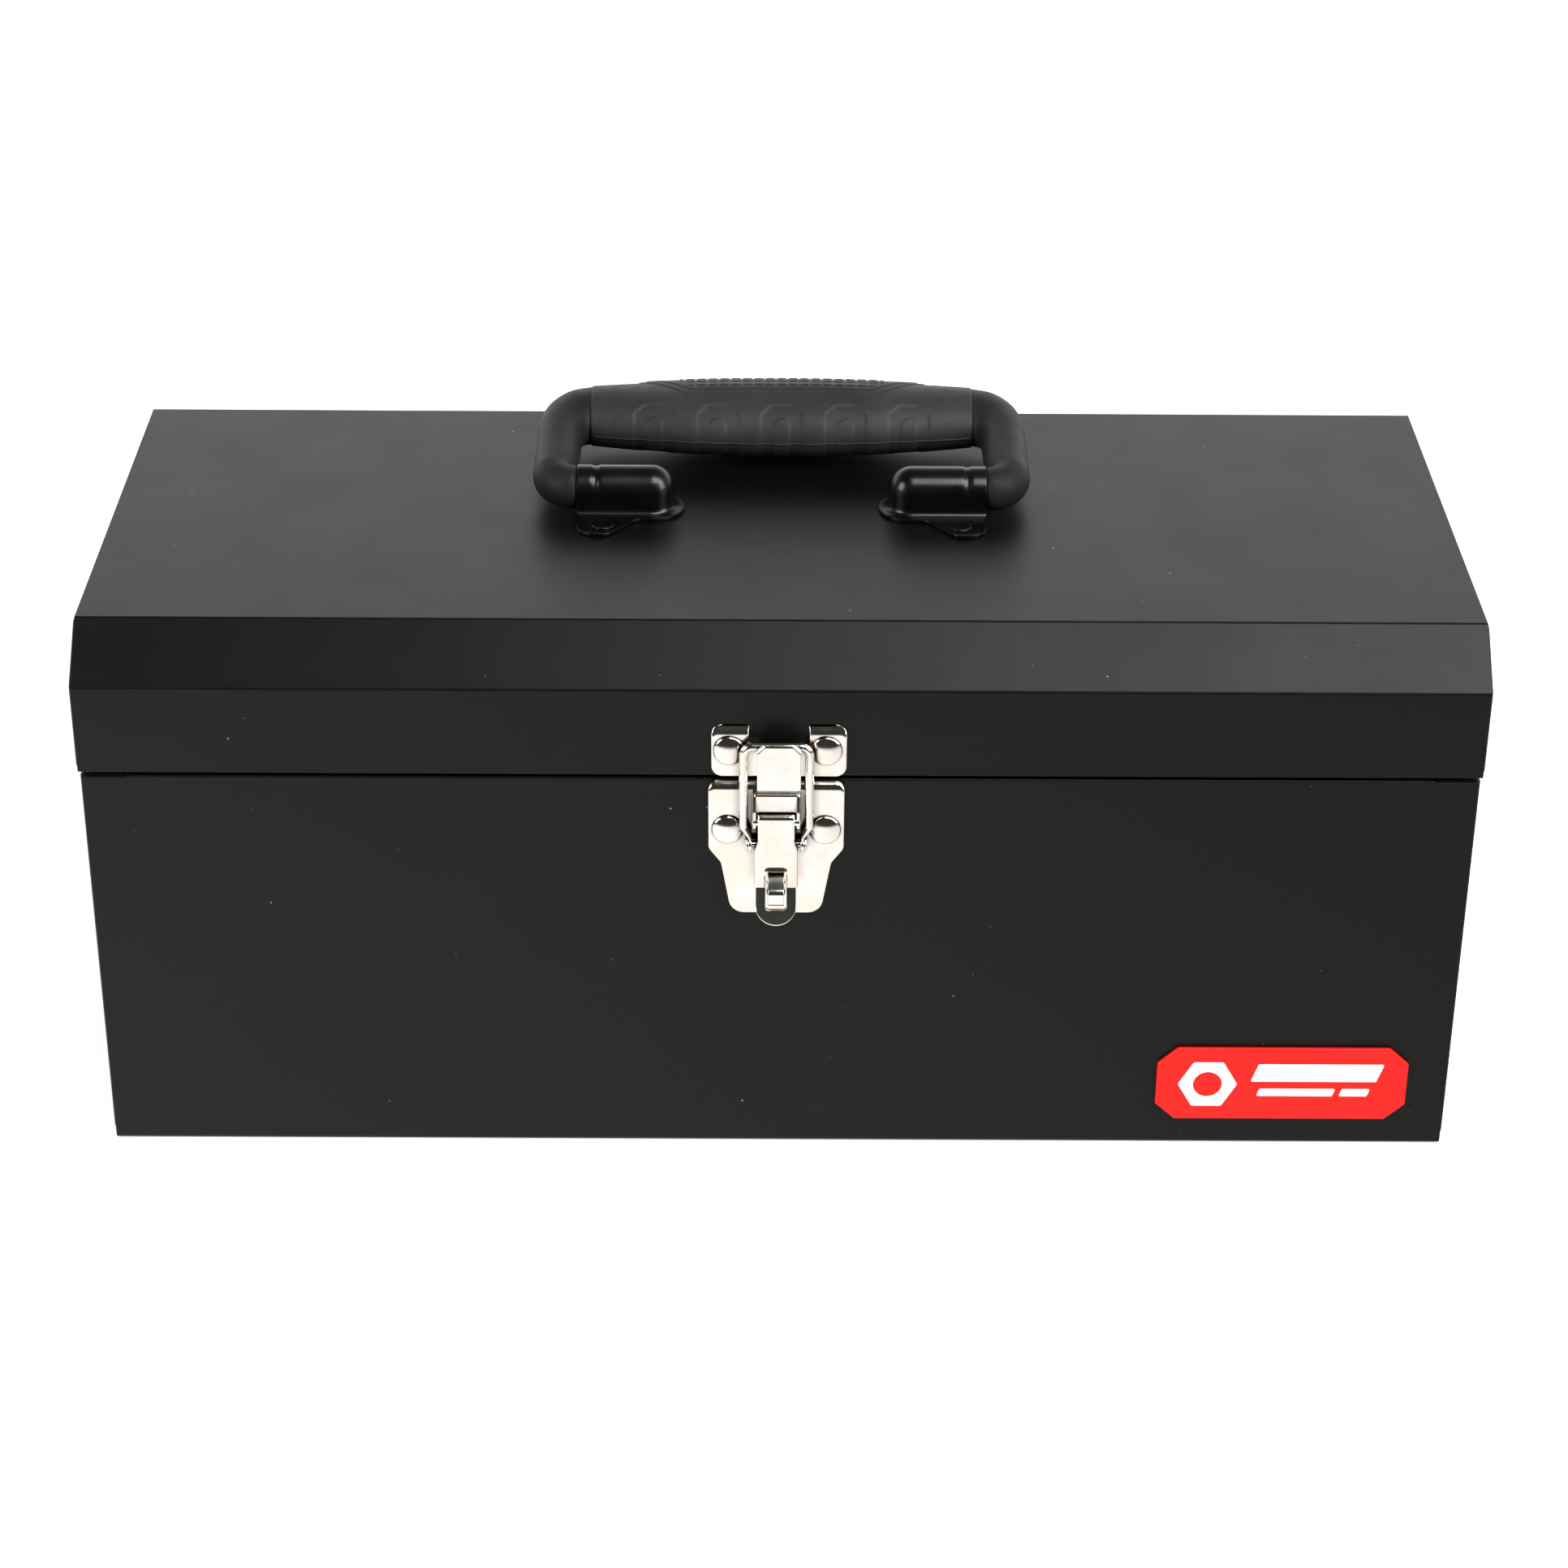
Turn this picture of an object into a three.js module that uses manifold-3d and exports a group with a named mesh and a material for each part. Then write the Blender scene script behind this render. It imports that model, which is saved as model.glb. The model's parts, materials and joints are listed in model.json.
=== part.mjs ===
// Steel hip-roof tool box with a draw latch, a folding handle and a lift-out tray.
//
// Units are millimetres. X runs along the box, -Y is the front with the latch, +Z is up.
// The origin is the centre of the box's bottom face.

import * as THREE from 'three';
import { mergeVertices } from 'three/addons/utils/BufferGeometryUtils.js';
import Module from 'manifold-3d';

const wasm = await Module();
wasm.setup();

// ---------------------------------------------------------------- driving dimensions

const SHEET = 0.8; // box and tray sheet
const LATCH_SHEET = 1.0;
const GAP = 0.3; // clearance between pieces that rest on each other

const BODY = { length: 406, width: 182, height: 126.7, capInset: 0.6, bend: 1.6 };
const LID = { proud: 0.75, bottom: 128, crease: 155.5, top: 170.3, hip: 15.75, bend: 1.4 };
const CAP = { flange: 13, corner: 3, lift: 1.6 };
const HEM = { height: 8, thickness: 1.7 };

const HINGE = { y: 91.25, z: 127.35, length: 376, leaf: 20, knuckles: 16 };
const KNUCKLE = { radius: 2.3, bore: 1.35, pin: 1.15 };

const LATCH_X = -1.3;
const STRIKE_X = -0.6;
const BASE_FACE = 2.6; // outer face of the base plate in front of the body
const STRIKE_FACE = 3.0; // outer face of the strike plate in front of the body
const PIVOT = { out: 5.6, z: 115.3, radius: 1.3 };
const BAIL = { out: 5, pinZ: 107.6, topZ: 139.6, half: 9.55, wire: 1.2, eye: 2.2 };
const TAB_ANGLE = THREE.MathUtils.degToRad(35);

const HANDLE = { pivotY: 0, pivotRise: 7.3, reach: 46.6, half: 69, tube: 6.9, stub: 5.8 };
const GRIP = { half: 59.6, deep: 31, thick: 22.4, endScale: 0.82, clearance: 0.35 };
const HOOD = { outer: 7.3, sheet: 1, domeX: 39.5, openX: 62, flange: 2.5 };
const FOOT_RIVET = { x: 54, y: 14, head: 3.6, rise: 1.1, shank: 1.9, tail: 2.9 };
const LATCH_RIVET = { head: 4.1, rise: 1.15, shank: 1.9, tail: 2.9 };
const RIVET_HOLE = 2.2;

const TRAY = { length: 376, width: 170, bottom: 80, height: 42 };
const LEDGE = { length: 150, depth: 20, drop: 15 };

const FRONT = -BODY.width / 2;
const HALF_WIDTH = BODY.width / 2;
const PIVOT_Z = LID.top + HANDLE.pivotRise;
const LID_HALF_WIDTH = HALF_WIDTH + LID.proud;

// ---------------------------------------------------------------- materials

function material(color, roughness, metalness) {
  return new THREE.MeshStandardMaterial({ color, roughness, metalness });
}

const PAINT = () => material(0x2b2b2c, 0.5, 0.3);
const GLOSS = () => material(0x101010, 0.25, 0.3);
const NICKEL = () => material(0xd8d2c8, 0.2, 1);
const STEEL = () => material(0x8c8c8c, 0.4, 1);
const PLASTIC = () => material(0x222222, 0.45, 0);
const RUBBER = () => material(0x303030, 0.75, 0);
const RED = () => material(0xe01f1c, 0.35, 0);

// ---------------------------------------------------------------- solids

/** Turn a closed three.js geometry into a solid that can be joined and cut. */
function solid(geometry) {
  const plain = geometry.clone();
  plain.deleteAttribute('normal');
  plain.deleteAttribute('uv');
  const merged = mergeVertices(plain, 1e-4);
  const corners = merged.attributes.position.array;
  const index = merged.index.array;
  const triangles = [];
  for (let i = 0; i < index.length; i += 3) {
    const [a, b, c] = [index[i], index[i + 1], index[i + 2]];
    const flat = a === b || b === c || a === c;
    if (!flat) triangles.push(a, b, c);
  }
  if (signedVolume(corners, triangles) < 0) triangles.reverse();
  const mesh = new wasm.Mesh({
    numProp: 3,
    vertProperties: Float32Array.from(corners),
    triVerts: Uint32Array.from(triangles),
  });
  return new wasm.Manifold(mesh);
}

function signedVolume(corners, triangles) {
  const [a, b, c] = [new THREE.Vector3(), new THREE.Vector3(), new THREE.Vector3()];
  let total = 0;
  for (let i = 0; i < triangles.length; i += 3) {
    a.fromArray(corners, triangles[i] * 3);
    b.fromArray(corners, triangles[i + 1] * 3);
    c.fromArray(corners, triangles[i + 2] * 3);
    total += a.dot(b.cross(c));
  }
  return total;
}

function join(...solids) {
  return solids.reduce((whole, next) => whole.add(next));
}

function cut(whole, ...tools) {
  return tools.reduce((rest, tool) => rest.subtract(tool), whole);
}

function geometryOf(part) {
  const { vertProperties, triVerts } = part.getMesh();
  const geometry = new THREE.BufferGeometry();
  geometry.setAttribute('position', new THREE.BufferAttribute(Float32Array.from(vertProperties), 3));
  geometry.setIndex(new THREE.BufferAttribute(Uint32Array.from(triVerts), 1));
  geometry.computeVertexNormals();
  return geometry;
}

const model = new THREE.Group();

function piece(name, part, finish) {
  const mesh = new THREE.Mesh(geometryOf(part), finish);
  mesh.name = name;
  model.add(mesh);
}

// Directions for extrusions: where the outline's two axes and its depth point.
const ALONG_X = new THREE.Matrix4().makeBasis(
  new THREE.Vector3(0, 1, 0),
  new THREE.Vector3(0, 0, 1),
  new THREE.Vector3(1, 0, 0),
);
const OUT_OF_FRONT = new THREE.Matrix4().makeBasis(
  new THREE.Vector3(1, 0, 0),
  new THREE.Vector3(0, 0, 1),
  new THREE.Vector3(0, -1, 0),
);

/** Extrude an outline given as (y, z) from x0 to x1. */
function alongX(shape, x0, x1, curveSegments = 6) {
  const geometry = new THREE.ExtrudeGeometry(shape, { depth: x1 - x0, bevelEnabled: false, curveSegments });
  return solid(geometry.applyMatrix4(ALONG_X).translate(x0, 0, 0));
}

/** Extrude a front-view outline (x, z) between two distances in front of the body. */
function outOfFront(shape, near, far, curveSegments = 6) {
  const extrusion = { depth: far - near, bevelEnabled: false, curveSegments };
  const geometry = new THREE.ExtrudeGeometry(shape, extrusion);
  return solid(geometry.applyMatrix4(OUT_OF_FRONT).translate(0, FRONT - near, 0));
}

/** Extrude a plan outline (x, y) between two heights. */
function upward(shape, z0, z1, curveSegments = 8) {
  const geometry = new THREE.ExtrudeGeometry(shape, { depth: z1 - z0, bevelEnabled: false, curveSegments });
  return solid(geometry.translate(0, 0, z0));
}

/** Extrude a side-view outline (distance in front of the body, z) from x0 to x1. */
function sideProfile(points, x0, x1) {
  return alongX(polygon(points.map(([out, z]) => [FRONT - out, z])), x0, x1);
}

function box(x0, x1, y0, y1, z0, z1) {
  const geometry = new THREE.BoxGeometry(x1 - x0, y1 - y0, z1 - z0);
  return solid(geometry.translate((x0 + x1) / 2, (y0 + y1) / 2, (z0 + z1) / 2));
}

/** A box given by its distances in front of the body. */
function frontBox(x0, x1, near, far, z0, z1) {
  return box(x0, x1, FRONT - far, FRONT - near, z0, z1);
}

/** A rod along X. */
function rodX(radius, x0, x1, y, z, sides = 14) {
  const geometry = new THREE.CylinderGeometry(radius, radius, x1 - x0, sides);
  return solid(geometry.rotateZ(Math.PI / 2).translate((x0 + x1) / 2, y, z));
}

function vectors(points) {
  return points.map(([a, b]) => new THREE.Vector2(a, b));
}

/** Turn a profile of (radius, height) about the vertical. */
function latheUp(profile, sides = 14) {
  return new THREE.LatheGeometry(vectors(profile), sides).rotateX(Math.PI / 2);
}

function polygon(points) {
  return new THREE.Shape(vectors(points));
}

/** Round the inner corners of an open line of points. */
function fillet(points, radius, steps = 3) {
  const line = vectors(points);
  const out = [line[0]];
  for (let i = 1; i < line.length - 1; i += 1) {
    const back = line[i - 1].clone().sub(line[i]).normalize();
    const ahead = line[i + 1].clone().sub(line[i]).normalize();
    const half = back.angleTo(ahead) / 2;
    const reach = radius / Math.tan(half);
    const start = line[i].clone().addScaledVector(back, reach);
    const end = line[i].clone().addScaledVector(ahead, reach);
    const arc = new THREE.QuadraticBezierCurve(start, line[i], end);
    out.push(...arc.getPoints(steps));
  }
  out.push(line[line.length - 1]);
  return out;
}

/** The outline of a bent sheet: a line of points thickened to its left. */
function bentSheet(line, thickness) {
  const last = line.length - 1;
  const runs = line.slice(1).map((point, i) => point.clone().sub(line[i]).normalize());
  const inner = line.map((point, i) => {
    const into = runs[Math.max(i - 1, 0)];
    const away = runs[Math.min(i, last - 1)];
    const left = new THREE.Vector2(-into.y - away.y, into.x + away.x).normalize();
    const stretch = 1 / Math.max(Math.cos(into.angleTo(away) / 2), 0.3);
    return point.clone().addScaledVector(left, thickness * stretch);
  });
  return new THREE.Shape([...line, ...inner.reverse()]);
}

/** A closed outline whose corners are rounded; each corner is [a, b, radius]. */
function rounded(corners) {
  const shape = new THREE.Shape();
  corners.forEach(([a, b, radius = 0], i) => {
    const here = new THREE.Vector2(a, b);
    const before = corners[(i + corners.length - 1) % corners.length];
    const after = corners[(i + 1) % corners.length];
    const back = new THREE.Vector2(before[0], before[1]).sub(here).normalize();
    const ahead = new THREE.Vector2(after[0], after[1]).sub(here).normalize();
    const reach = radius / Math.tan(back.angleTo(ahead) / 2);
    const start = here.clone().addScaledVector(back, reach);
    const end = here.clone().addScaledVector(ahead, reach);
    if (i === 0) shape.moveTo(start.x, start.y);
    else shape.lineTo(start.x, start.y);
    if (radius > 0) shape.quadraticCurveTo(here.x, here.y, end.x, end.y);
  });
  shape.closePath();
  return shape;
}

/** A rivet whose head stands on a face; the shank runs through the sheets to a flared tail. */
function rivet(headRadius, headHeight, shankRadius, grip, tailRadius) {
  const profile = [
    [0, headHeight],
    [headRadius * 0.55, headHeight * 0.82],
    [headRadius * 0.88, headHeight * 0.45],
    [headRadius, 0],
    [shankRadius, 0],
    [shankRadius, -grip],
    [tailRadius, -grip],
    [tailRadius * 0.8, -grip - 1],
    [0, -grip - 1],
  ];
  return latheUp(profile);
}

function rivetOutOfFront(x, z, face, grip) {
  const { head, rise, shank, tail } = LATCH_RIVET;
  const geometry = rivet(head, rise, shank, grip, tail);
  return solid(geometry.rotateX(Math.PI / 2).translate(x, FRONT - face, z));
}

/** A hole through the front sheets on a rivet's axis. */
function frontHole(x, z, radius) {
  const geometry = new THREE.CylinderGeometry(radius, radius, 16, 14);
  return solid(geometry.translate(x, FRONT, z));
}

function verticalHole(x, y, radius, z) {
  const geometry = new THREE.CylinderGeometry(radius, radius, 16, 14);
  return solid(geometry.rotateX(Math.PI / 2).translate(x, y, z));
}

// ---------------------------------------------------------------- box body

const BASE_RIVETS = [['left', LATCH_X - 14.2], ['right', LATCH_X + 14.2]];
const BASE_RIVET_Z = 111.2;
const STRIKE_RIVETS = [['left', STRIKE_X - 14.4], ['right', STRIKE_X + 14.4]];
const STRIKE_RIVET_Z = 137.4;

function bodyWrap() {
  const half = BODY.length / 2 - BODY.capInset;
  const line = fillet(
    [[-HALF_WIDTH, BODY.height], [-HALF_WIDTH, 0], [HALF_WIDTH, 0], [HALF_WIDTH, BODY.height - 2.4]],
    BODY.bend,
  );
  const shell = alongX(bentSheet(line, SHEET), -half, half);
  const hemHalf = BODY.length / 2 - CAP.flange - 1;
  const frontHem = box(
    -hemHalf, hemHalf,
    FRONT + SHEET / 2, FRONT + HEM.thickness,
    BODY.height - HEM.height, BODY.height,
  );
  const holes = BASE_RIVETS.map(([, x]) => frontHole(x, BASE_RIVET_Z, RIVET_HOLE));
  return cut(join(shell, frontHem), ...holes);
}

/** A pressed end panel: a pan whose rim is turned in along the box. The outline is counted inwards. */
function endPan(outline, side, face, inset) {
  const outer = alongX(rounded(outline(0)), face - CAP.flange, face);
  const hollow = alongX(rounded(outline(inset)), face - CAP.flange - 1, face - inset);
  const pan = cut(outer, hollow);
  return side < 0 ? pan.mirror([1, 0, 0]) : pan;
}

function bodyEnd(side) {
  const reach = HALF_WIDTH - SHEET - 0.2;
  const outline = (inset) => [
    [-reach + inset, CAP.lift + inset, CAP.corner],
    [reach - inset, CAP.lift + inset, CAP.corner],
    [reach - inset, BODY.height - inset, 0.6],
    [-reach + inset, BODY.height - inset, 0.6],
  ];
  return endPan(outline, side, BODY.length / 2, SHEET);
}

function trayLedge(side) {
  const inner = BODY.length / 2 - SHEET - GAP;
  const line = fillet(
    [
      [inner, TRAY.bottom - LEDGE.drop],
      [inner, TRAY.bottom - GAP],
      [inner - LEDGE.depth, TRAY.bottom - GAP],
    ],
    1.2,
  );
  const shape = bentSheet(line, SHEET);
  const geometry = new THREE.ExtrudeGeometry(shape, { depth: LEDGE.length, bevelEnabled: false });
  const ledge = solid(geometry.rotateX(Math.PI / 2).translate(0, LEDGE.length / 2, 0));
  return side < 0 ? ledge.mirror([1, 0, 0]) : ledge;
}

piece('body_wrap', bodyWrap(), PAINT());
for (const [name, side] of [['left', -1], ['right', 1]]) {
  piece(`body_end_${name}`, bodyEnd(side), PAINT());
  piece(`tray_ledge_${name}`, trayLedge(side), PAINT());
}

// ---------------------------------------------------------------- badge

const BADGE = { left: 113.9, right: 191.2, bottom: 8.8, top: 35.2, near: 0.1, far: 1.4 };

function badge() {
  const [x0, x1, z0, z1] = [BADGE.left, BADGE.right, BADGE.bottom, BADGE.top];
  const [cornerX, cornerZ] = [6, 5.5];
  const outline = polygon([
    [x0 + cornerX, z0],
    [x1 - cornerX, z0],
    [x1, z0 + cornerZ],
    [x1, z1 - cornerZ],
    [x1 - cornerX, z1],
    [x0 + cornerX, z1],
    [x0, z1 - cornerZ],
    [x0, z0 + cornerZ],
  ]);
  return outOfFront(outline, BADGE.near, BADGE.far);
}

piece('badge', badge(), RED());

// ---------------------------------------------------------------- lid

const BRACKET_RIVETS = [];
for (const [sideName, side] of [['left', -1], ['right', 1]]) {
  for (const [endName, end] of [['front', -1], ['rear', 1]]) {
    BRACKET_RIVETS.push([`${sideName}_${endName}`, side * FOOT_RIVET.x, end * FOOT_RIVET.y]);
  }
}

/** Corner points of the lid's cross-section, from the front lower edge over the roof to the rear. */
function roofLine(inset, frontBottom, rearBottom) {
  const wall = LID_HALF_WIDTH - inset;
  const crease = LID.crease - inset * Math.tan(Math.PI / 8);
  const ridge = LID_HALF_WIDTH - LID.hip - inset * Math.tan(Math.PI / 8);
  const top = LID.top - inset;
  return [
    [-wall, frontBottom],
    [-wall, crease],
    [-ridge, top],
    [ridge, top],
    [wall, crease],
    [wall, rearBottom],
  ];
}

function lidWrap() {
  const half = BODY.length / 2 + LID.proud - BODY.capInset;
  const line = fillet(roofLine(0, LID.bottom, HINGE.z + KNUCKLE.radius + 0.6).reverse(), LID.bend);
  const shell = alongX(bentSheet(line, SHEET), -half, half);
  const strikeHoles = STRIKE_RIVETS.map(([, x]) => frontHole(x, STRIKE_RIVET_Z, RIVET_HOLE));
  const bracketHoles = BRACKET_RIVETS.map(([, x, y]) => verticalHole(x, y, RIVET_HOLE, LID.top));
  return cut(shell, ...strikeHoles, ...bracketHoles);
}

function lidEnd(side) {
  const outline = (inset) => {
    const line = roofLine(SHEET + 0.2 + inset, LID.bottom + 0.8 + inset, LID.bottom + 0.8 + inset);
    return line.map(([y, z]) => [y, z, 0.8]).reverse();
  };
  return endPan(outline, side, BODY.length / 2 + LID.proud, SHEET);
}

piece('lid_wrap', lidWrap(), PAINT());
for (const [name, side] of [['left', -1], ['right', 1]]) {
  piece(`lid_end_${name}`, lidEnd(side), PAINT());
}

// ---------------------------------------------------------------- piano hinge

/** One leaf: a strip along the box whose knuckles wrap the pin; parity picks its share of knuckles. */
function hingeLeaf(up, parity) {
  const pitch = HINGE.length / HINGE.knuckles;
  const start = -HINGE.length / 2;
  const near = HINGE.y - KNUCKLE.radius;
  const sheetEdge = near + SHEET;
  const clear = KNUCKLE.radius + 0.5;
  let leaf = up > 0
    ? box(start, -start, near, sheetEdge, HINGE.z + clear, HINGE.z + HINGE.leaf)
    : box(start, -start, near, sheetEdge, HINGE.z - HINGE.leaf, HINGE.z - clear);
  for (let i = parity; i < HINGE.knuckles; i += 2) {
    const x0 = start + i * pitch + GAP / 2;
    const x1 = start + (i + 1) * pitch - GAP / 2;
    const tongue = up > 0
      ? box(x0, x1, near, sheetEdge, HINGE.z, HINGE.z + clear + 1)
      : box(x0, x1, near, sheetEdge, HINGE.z - clear - 1, HINGE.z);
    const knuckle = rodX(KNUCKLE.radius, x0, x1, HINGE.y, HINGE.z, 12);
    const bore = rodX(KNUCKLE.bore, x0 - 1, x1 + 1, HINGE.y, HINGE.z, 12);
    leaf = join(leaf, cut(join(knuckle, tongue), bore));
  }
  return leaf;
}

piece('hinge_leaf_body', hingeLeaf(-1, 0), PAINT());
piece('hinge_leaf_lid', hingeLeaf(1, 1), PAINT());
const pinHalf = HINGE.length / 2 + 1;
piece('hinge_pin', rodX(KNUCKLE.pin, -pinHalf, pinHalf, HINGE.y, HINGE.z, 12), STEEL());

// ---------------------------------------------------------------- latch: strike plate on the lid

const HOOK = { half: 6.3, bottom: 126.4, top: 141.7, inner: 7, outer: 8.1, shelf: 138.1 };

function strikePlate() {
  const [half, notch, top, bottom] = [19.6, 8.65, 143.2, 128.6];
  const near = LID.proud + GAP;
  const outline = (inset) => rounded([
    [STRIKE_X - half + inset, bottom + inset, 3],
    [STRIKE_X + half - inset, bottom + inset, 3],
    [STRIKE_X + half - inset, top - inset, 1.5],
    [STRIKE_X + notch + inset, top - inset, 0.4],
    [STRIKE_X + notch + inset, 137.6 - inset, 0.4],
    [STRIKE_X - notch - inset, 137.6 - inset, 0.4],
    [STRIKE_X - notch - inset, top - inset, 0.4],
    [STRIKE_X - half + inset, top - inset, 1.5],
  ]);
  const pan = cut(
    outOfFront(outline(0), near, STRIKE_FACE),
    outOfFront(outline(LATCH_SHEET), near - 1, STRIKE_FACE - LATCH_SHEET),
  );
  const [x0, x1] = [STRIKE_X - HOOK.half, STRIKE_X + HOOK.half];
  const shelf = frontBox(x0, x1, STRIKE_FACE - 0.5, HOOK.outer - 0.2, HOOK.shelf - 1.1, HOOK.shelf);
  const tongue = sideProfile([
    [HOOK.inner, HOOK.bottom],
    [HOOK.outer, HOOK.bottom],
    [HOOK.outer, HOOK.top - 0.9],
    [HOOK.outer - 0.4, HOOK.top],
    [HOOK.inner, HOOK.top],
  ], x0, x1);
  // The shelf folds from the plate's middle, which reaches up to it between the two ears.
  const root = frontBox(x0, x1, STRIKE_FACE - LATCH_SHEET, STRIKE_FACE, 135.5, HOOK.shelf);
  const slope = sideProfile([
    [near - 0.5, top + 1],
    [near - 0.5, top - 0.1],
    [near + 0.6, top + 0.1],
    [STRIKE_FACE + 1, top - 2],
    [STRIKE_FACE + 1, top + 1],
  ], STRIKE_X - half - 1, STRIKE_X + half + 1);
  const holes = STRIKE_RIVETS.map(([, x]) => frontHole(x, STRIKE_RIVET_Z, RIVET_HOLE));
  return cut(join(cut(pan, slope), root, shelf, tongue), ...holes);
}

piece('strike_plate', strikePlate(), NICKEL());
for (const [name, x] of STRIKE_RIVETS) {
  const grip = STRIKE_FACE + 0.1 - LID.proud + SHEET + GAP;
  piece(`strike_rivet_${name}`, rivetOutOfFront(x, STRIKE_RIVET_Z, STRIKE_FACE + 0.1, grip), NICKEL());
}

// ---------------------------------------------------------------- latch: base plate on the body

const EAR = { inner: 5.9, outer: 6.8, top: 124, bottom: 112.3, out: 6.7 };
const BAND = { bottom: 118.7, out: 5.2 };
const WINDOW = { half: 5.9, bottom: 110, top: 119.5 };
const STAPLE = { half: 2.35, sheet: 1.1, top: 97.4, bottom: 90.2 };

function basePlate() {
  const near = GAP;
  const outline = (inset) => rounded([
    [LATCH_X - 13.2 + inset, 82.8 + inset, 4.5],
    [LATCH_X + 13.2 - inset, 82.8 + inset, 4.5],
    [LATCH_X + 16.2 - inset, 99.8 + inset * 0.2, 2],
    [LATCH_X + 19.8 - inset, 104.6 + inset * 0.2, 2],
    [LATCH_X + 19.8 - inset, 125 - inset, 3],
    [LATCH_X - 19.8 + inset, 125 - inset, 3],
    [LATCH_X - 19.8 + inset, 104.6 + inset * 0.2, 2],
    [LATCH_X - 16.2 + inset, 99.8 + inset * 0.2, 2],
  ]);
  const pan = cut(
    outOfFront(outline(0), near, BASE_FACE),
    outOfFront(outline(LATCH_SHEET), near - 1, BASE_FACE - LATCH_SHEET),
  );
  const window = frontBox(LATCH_X - WINDOW.half, LATCH_X + WINDOW.half, -1, 4, WINDOW.bottom, WINDOW.top);
  const earProfile = [
    [BASE_FACE - 0.6, EAR.top],
    [BASE_FACE - 0.6, EAR.bottom],
    [PIVOT.out - 0.4, EAR.bottom],
    [EAR.out - 0.2, EAR.bottom + 1.2],
    [EAR.out, PIVOT.z],
    [EAR.out - 0.4, PIVOT.z + 3.4],
    [BAND.out, EAR.top - 0.6],
    [BAND.out - 0.6, EAR.top],
  ];
  const ears = [-1, 1].map((side) => {
    const [a, b] = [LATCH_X + side * EAR.inner, LATCH_X + side * EAR.outer].sort((p, q) => p - q);
    return sideProfile(earProfile, a, b);
  });
  const band = sideProfile([
    [BASE_FACE - 0.5, EAR.top + 0.8],
    [BASE_FACE + 0.2, EAR.top + 0.6],
    [BAND.out, EAR.top - 0.6],
    [BAND.out, BAND.bottom],
    [BAND.out - LATCH_SHEET, BAND.bottom],
    [BAND.out - LATCH_SHEET, EAR.top - 1.1],
    [BASE_FACE - 0.5, EAR.top - 0.6],
  ], LATCH_X - EAR.inner - 0.2, LATCH_X + EAR.inner + 0.2);
  const pinHole = rodX(PIVOT.radius + 0.15, LATCH_X - 10, LATCH_X + 10, FRONT - PIVOT.out, PIVOT.z);
  const slots = [STAPLE.top, STAPLE.bottom].map((z) => frontBox(
    LATCH_X - STAPLE.half - 0.3, LATCH_X + STAPLE.half + 0.3,
    -1, 4,
    z - STAPLE.sheet / 2 - 0.3, z + STAPLE.sheet / 2 + 0.3,
  ));
  const holes = BASE_RIVETS.map(([, x]) => frontHole(x, BASE_RIVET_Z, RIVET_HOLE));
  return cut(join(cut(pan, window), ...ears, band), pinHole, ...slots, ...holes);
}

/** The padlock eye: a strap bent into a loop, its two feet clinched behind the base plate. */
function staple() {
  const t = STAPLE.sheet / 2;
  const [top, bottom] = [STAPLE.top, STAPLE.bottom];
  const outline = [
    [0.55, top + 2.2],
    [0.55, top - t],
    [6, top - t],
    [10.2, top - 2.2 - t],
    [10.7, top - 3.4],
    [10.2, bottom + t],
    [0.55, bottom + t],
    [0.55, bottom - 2.2],
    [1.35, bottom - 2.2],
    [1.35, bottom - t],
    [10.6, bottom - t],
    [11.3, bottom + 0.4],
    [11.8, top - 3.5],
    [11.1, top - 2.1],
    [6.3, top + t],
    [1.35, top + t],
    [1.35, top + 2.2],
  ];
  return sideProfile(outline, LATCH_X - STAPLE.half, LATCH_X + STAPLE.half);
}

function pivotPin() {
  const y = FRONT - PIVOT.out;
  return rodX(PIVOT.radius, LATCH_X - EAR.outer - 0.2, LATCH_X + EAR.outer + 0.2, y, PIVOT.z);
}

piece('latch_base_plate', basePlate(), NICKEL());
piece('latch_staple', staple(), NICKEL());
piece('lever_pivot_pin', pivotPin(), NICKEL());
for (const [name, x] of BASE_RIVETS) {
  const grip = BASE_FACE + 0.1 + SHEET + GAP;
  piece(`base_rivet_${name}`, rivetOutOfFront(x, BASE_RIVET_Z, BASE_FACE + 0.1, grip), NICKEL());
}

// ---------------------------------------------------------------- latch: lever and bail

const LEVER = { near: 6.2, far: 7.2, top: 117.9, neck: 5.5, wide: 6.4, bend: 94 };
const LEVER_SLOT = { half: 3.1, bottom: 88.7, top: 98.9 };

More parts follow.
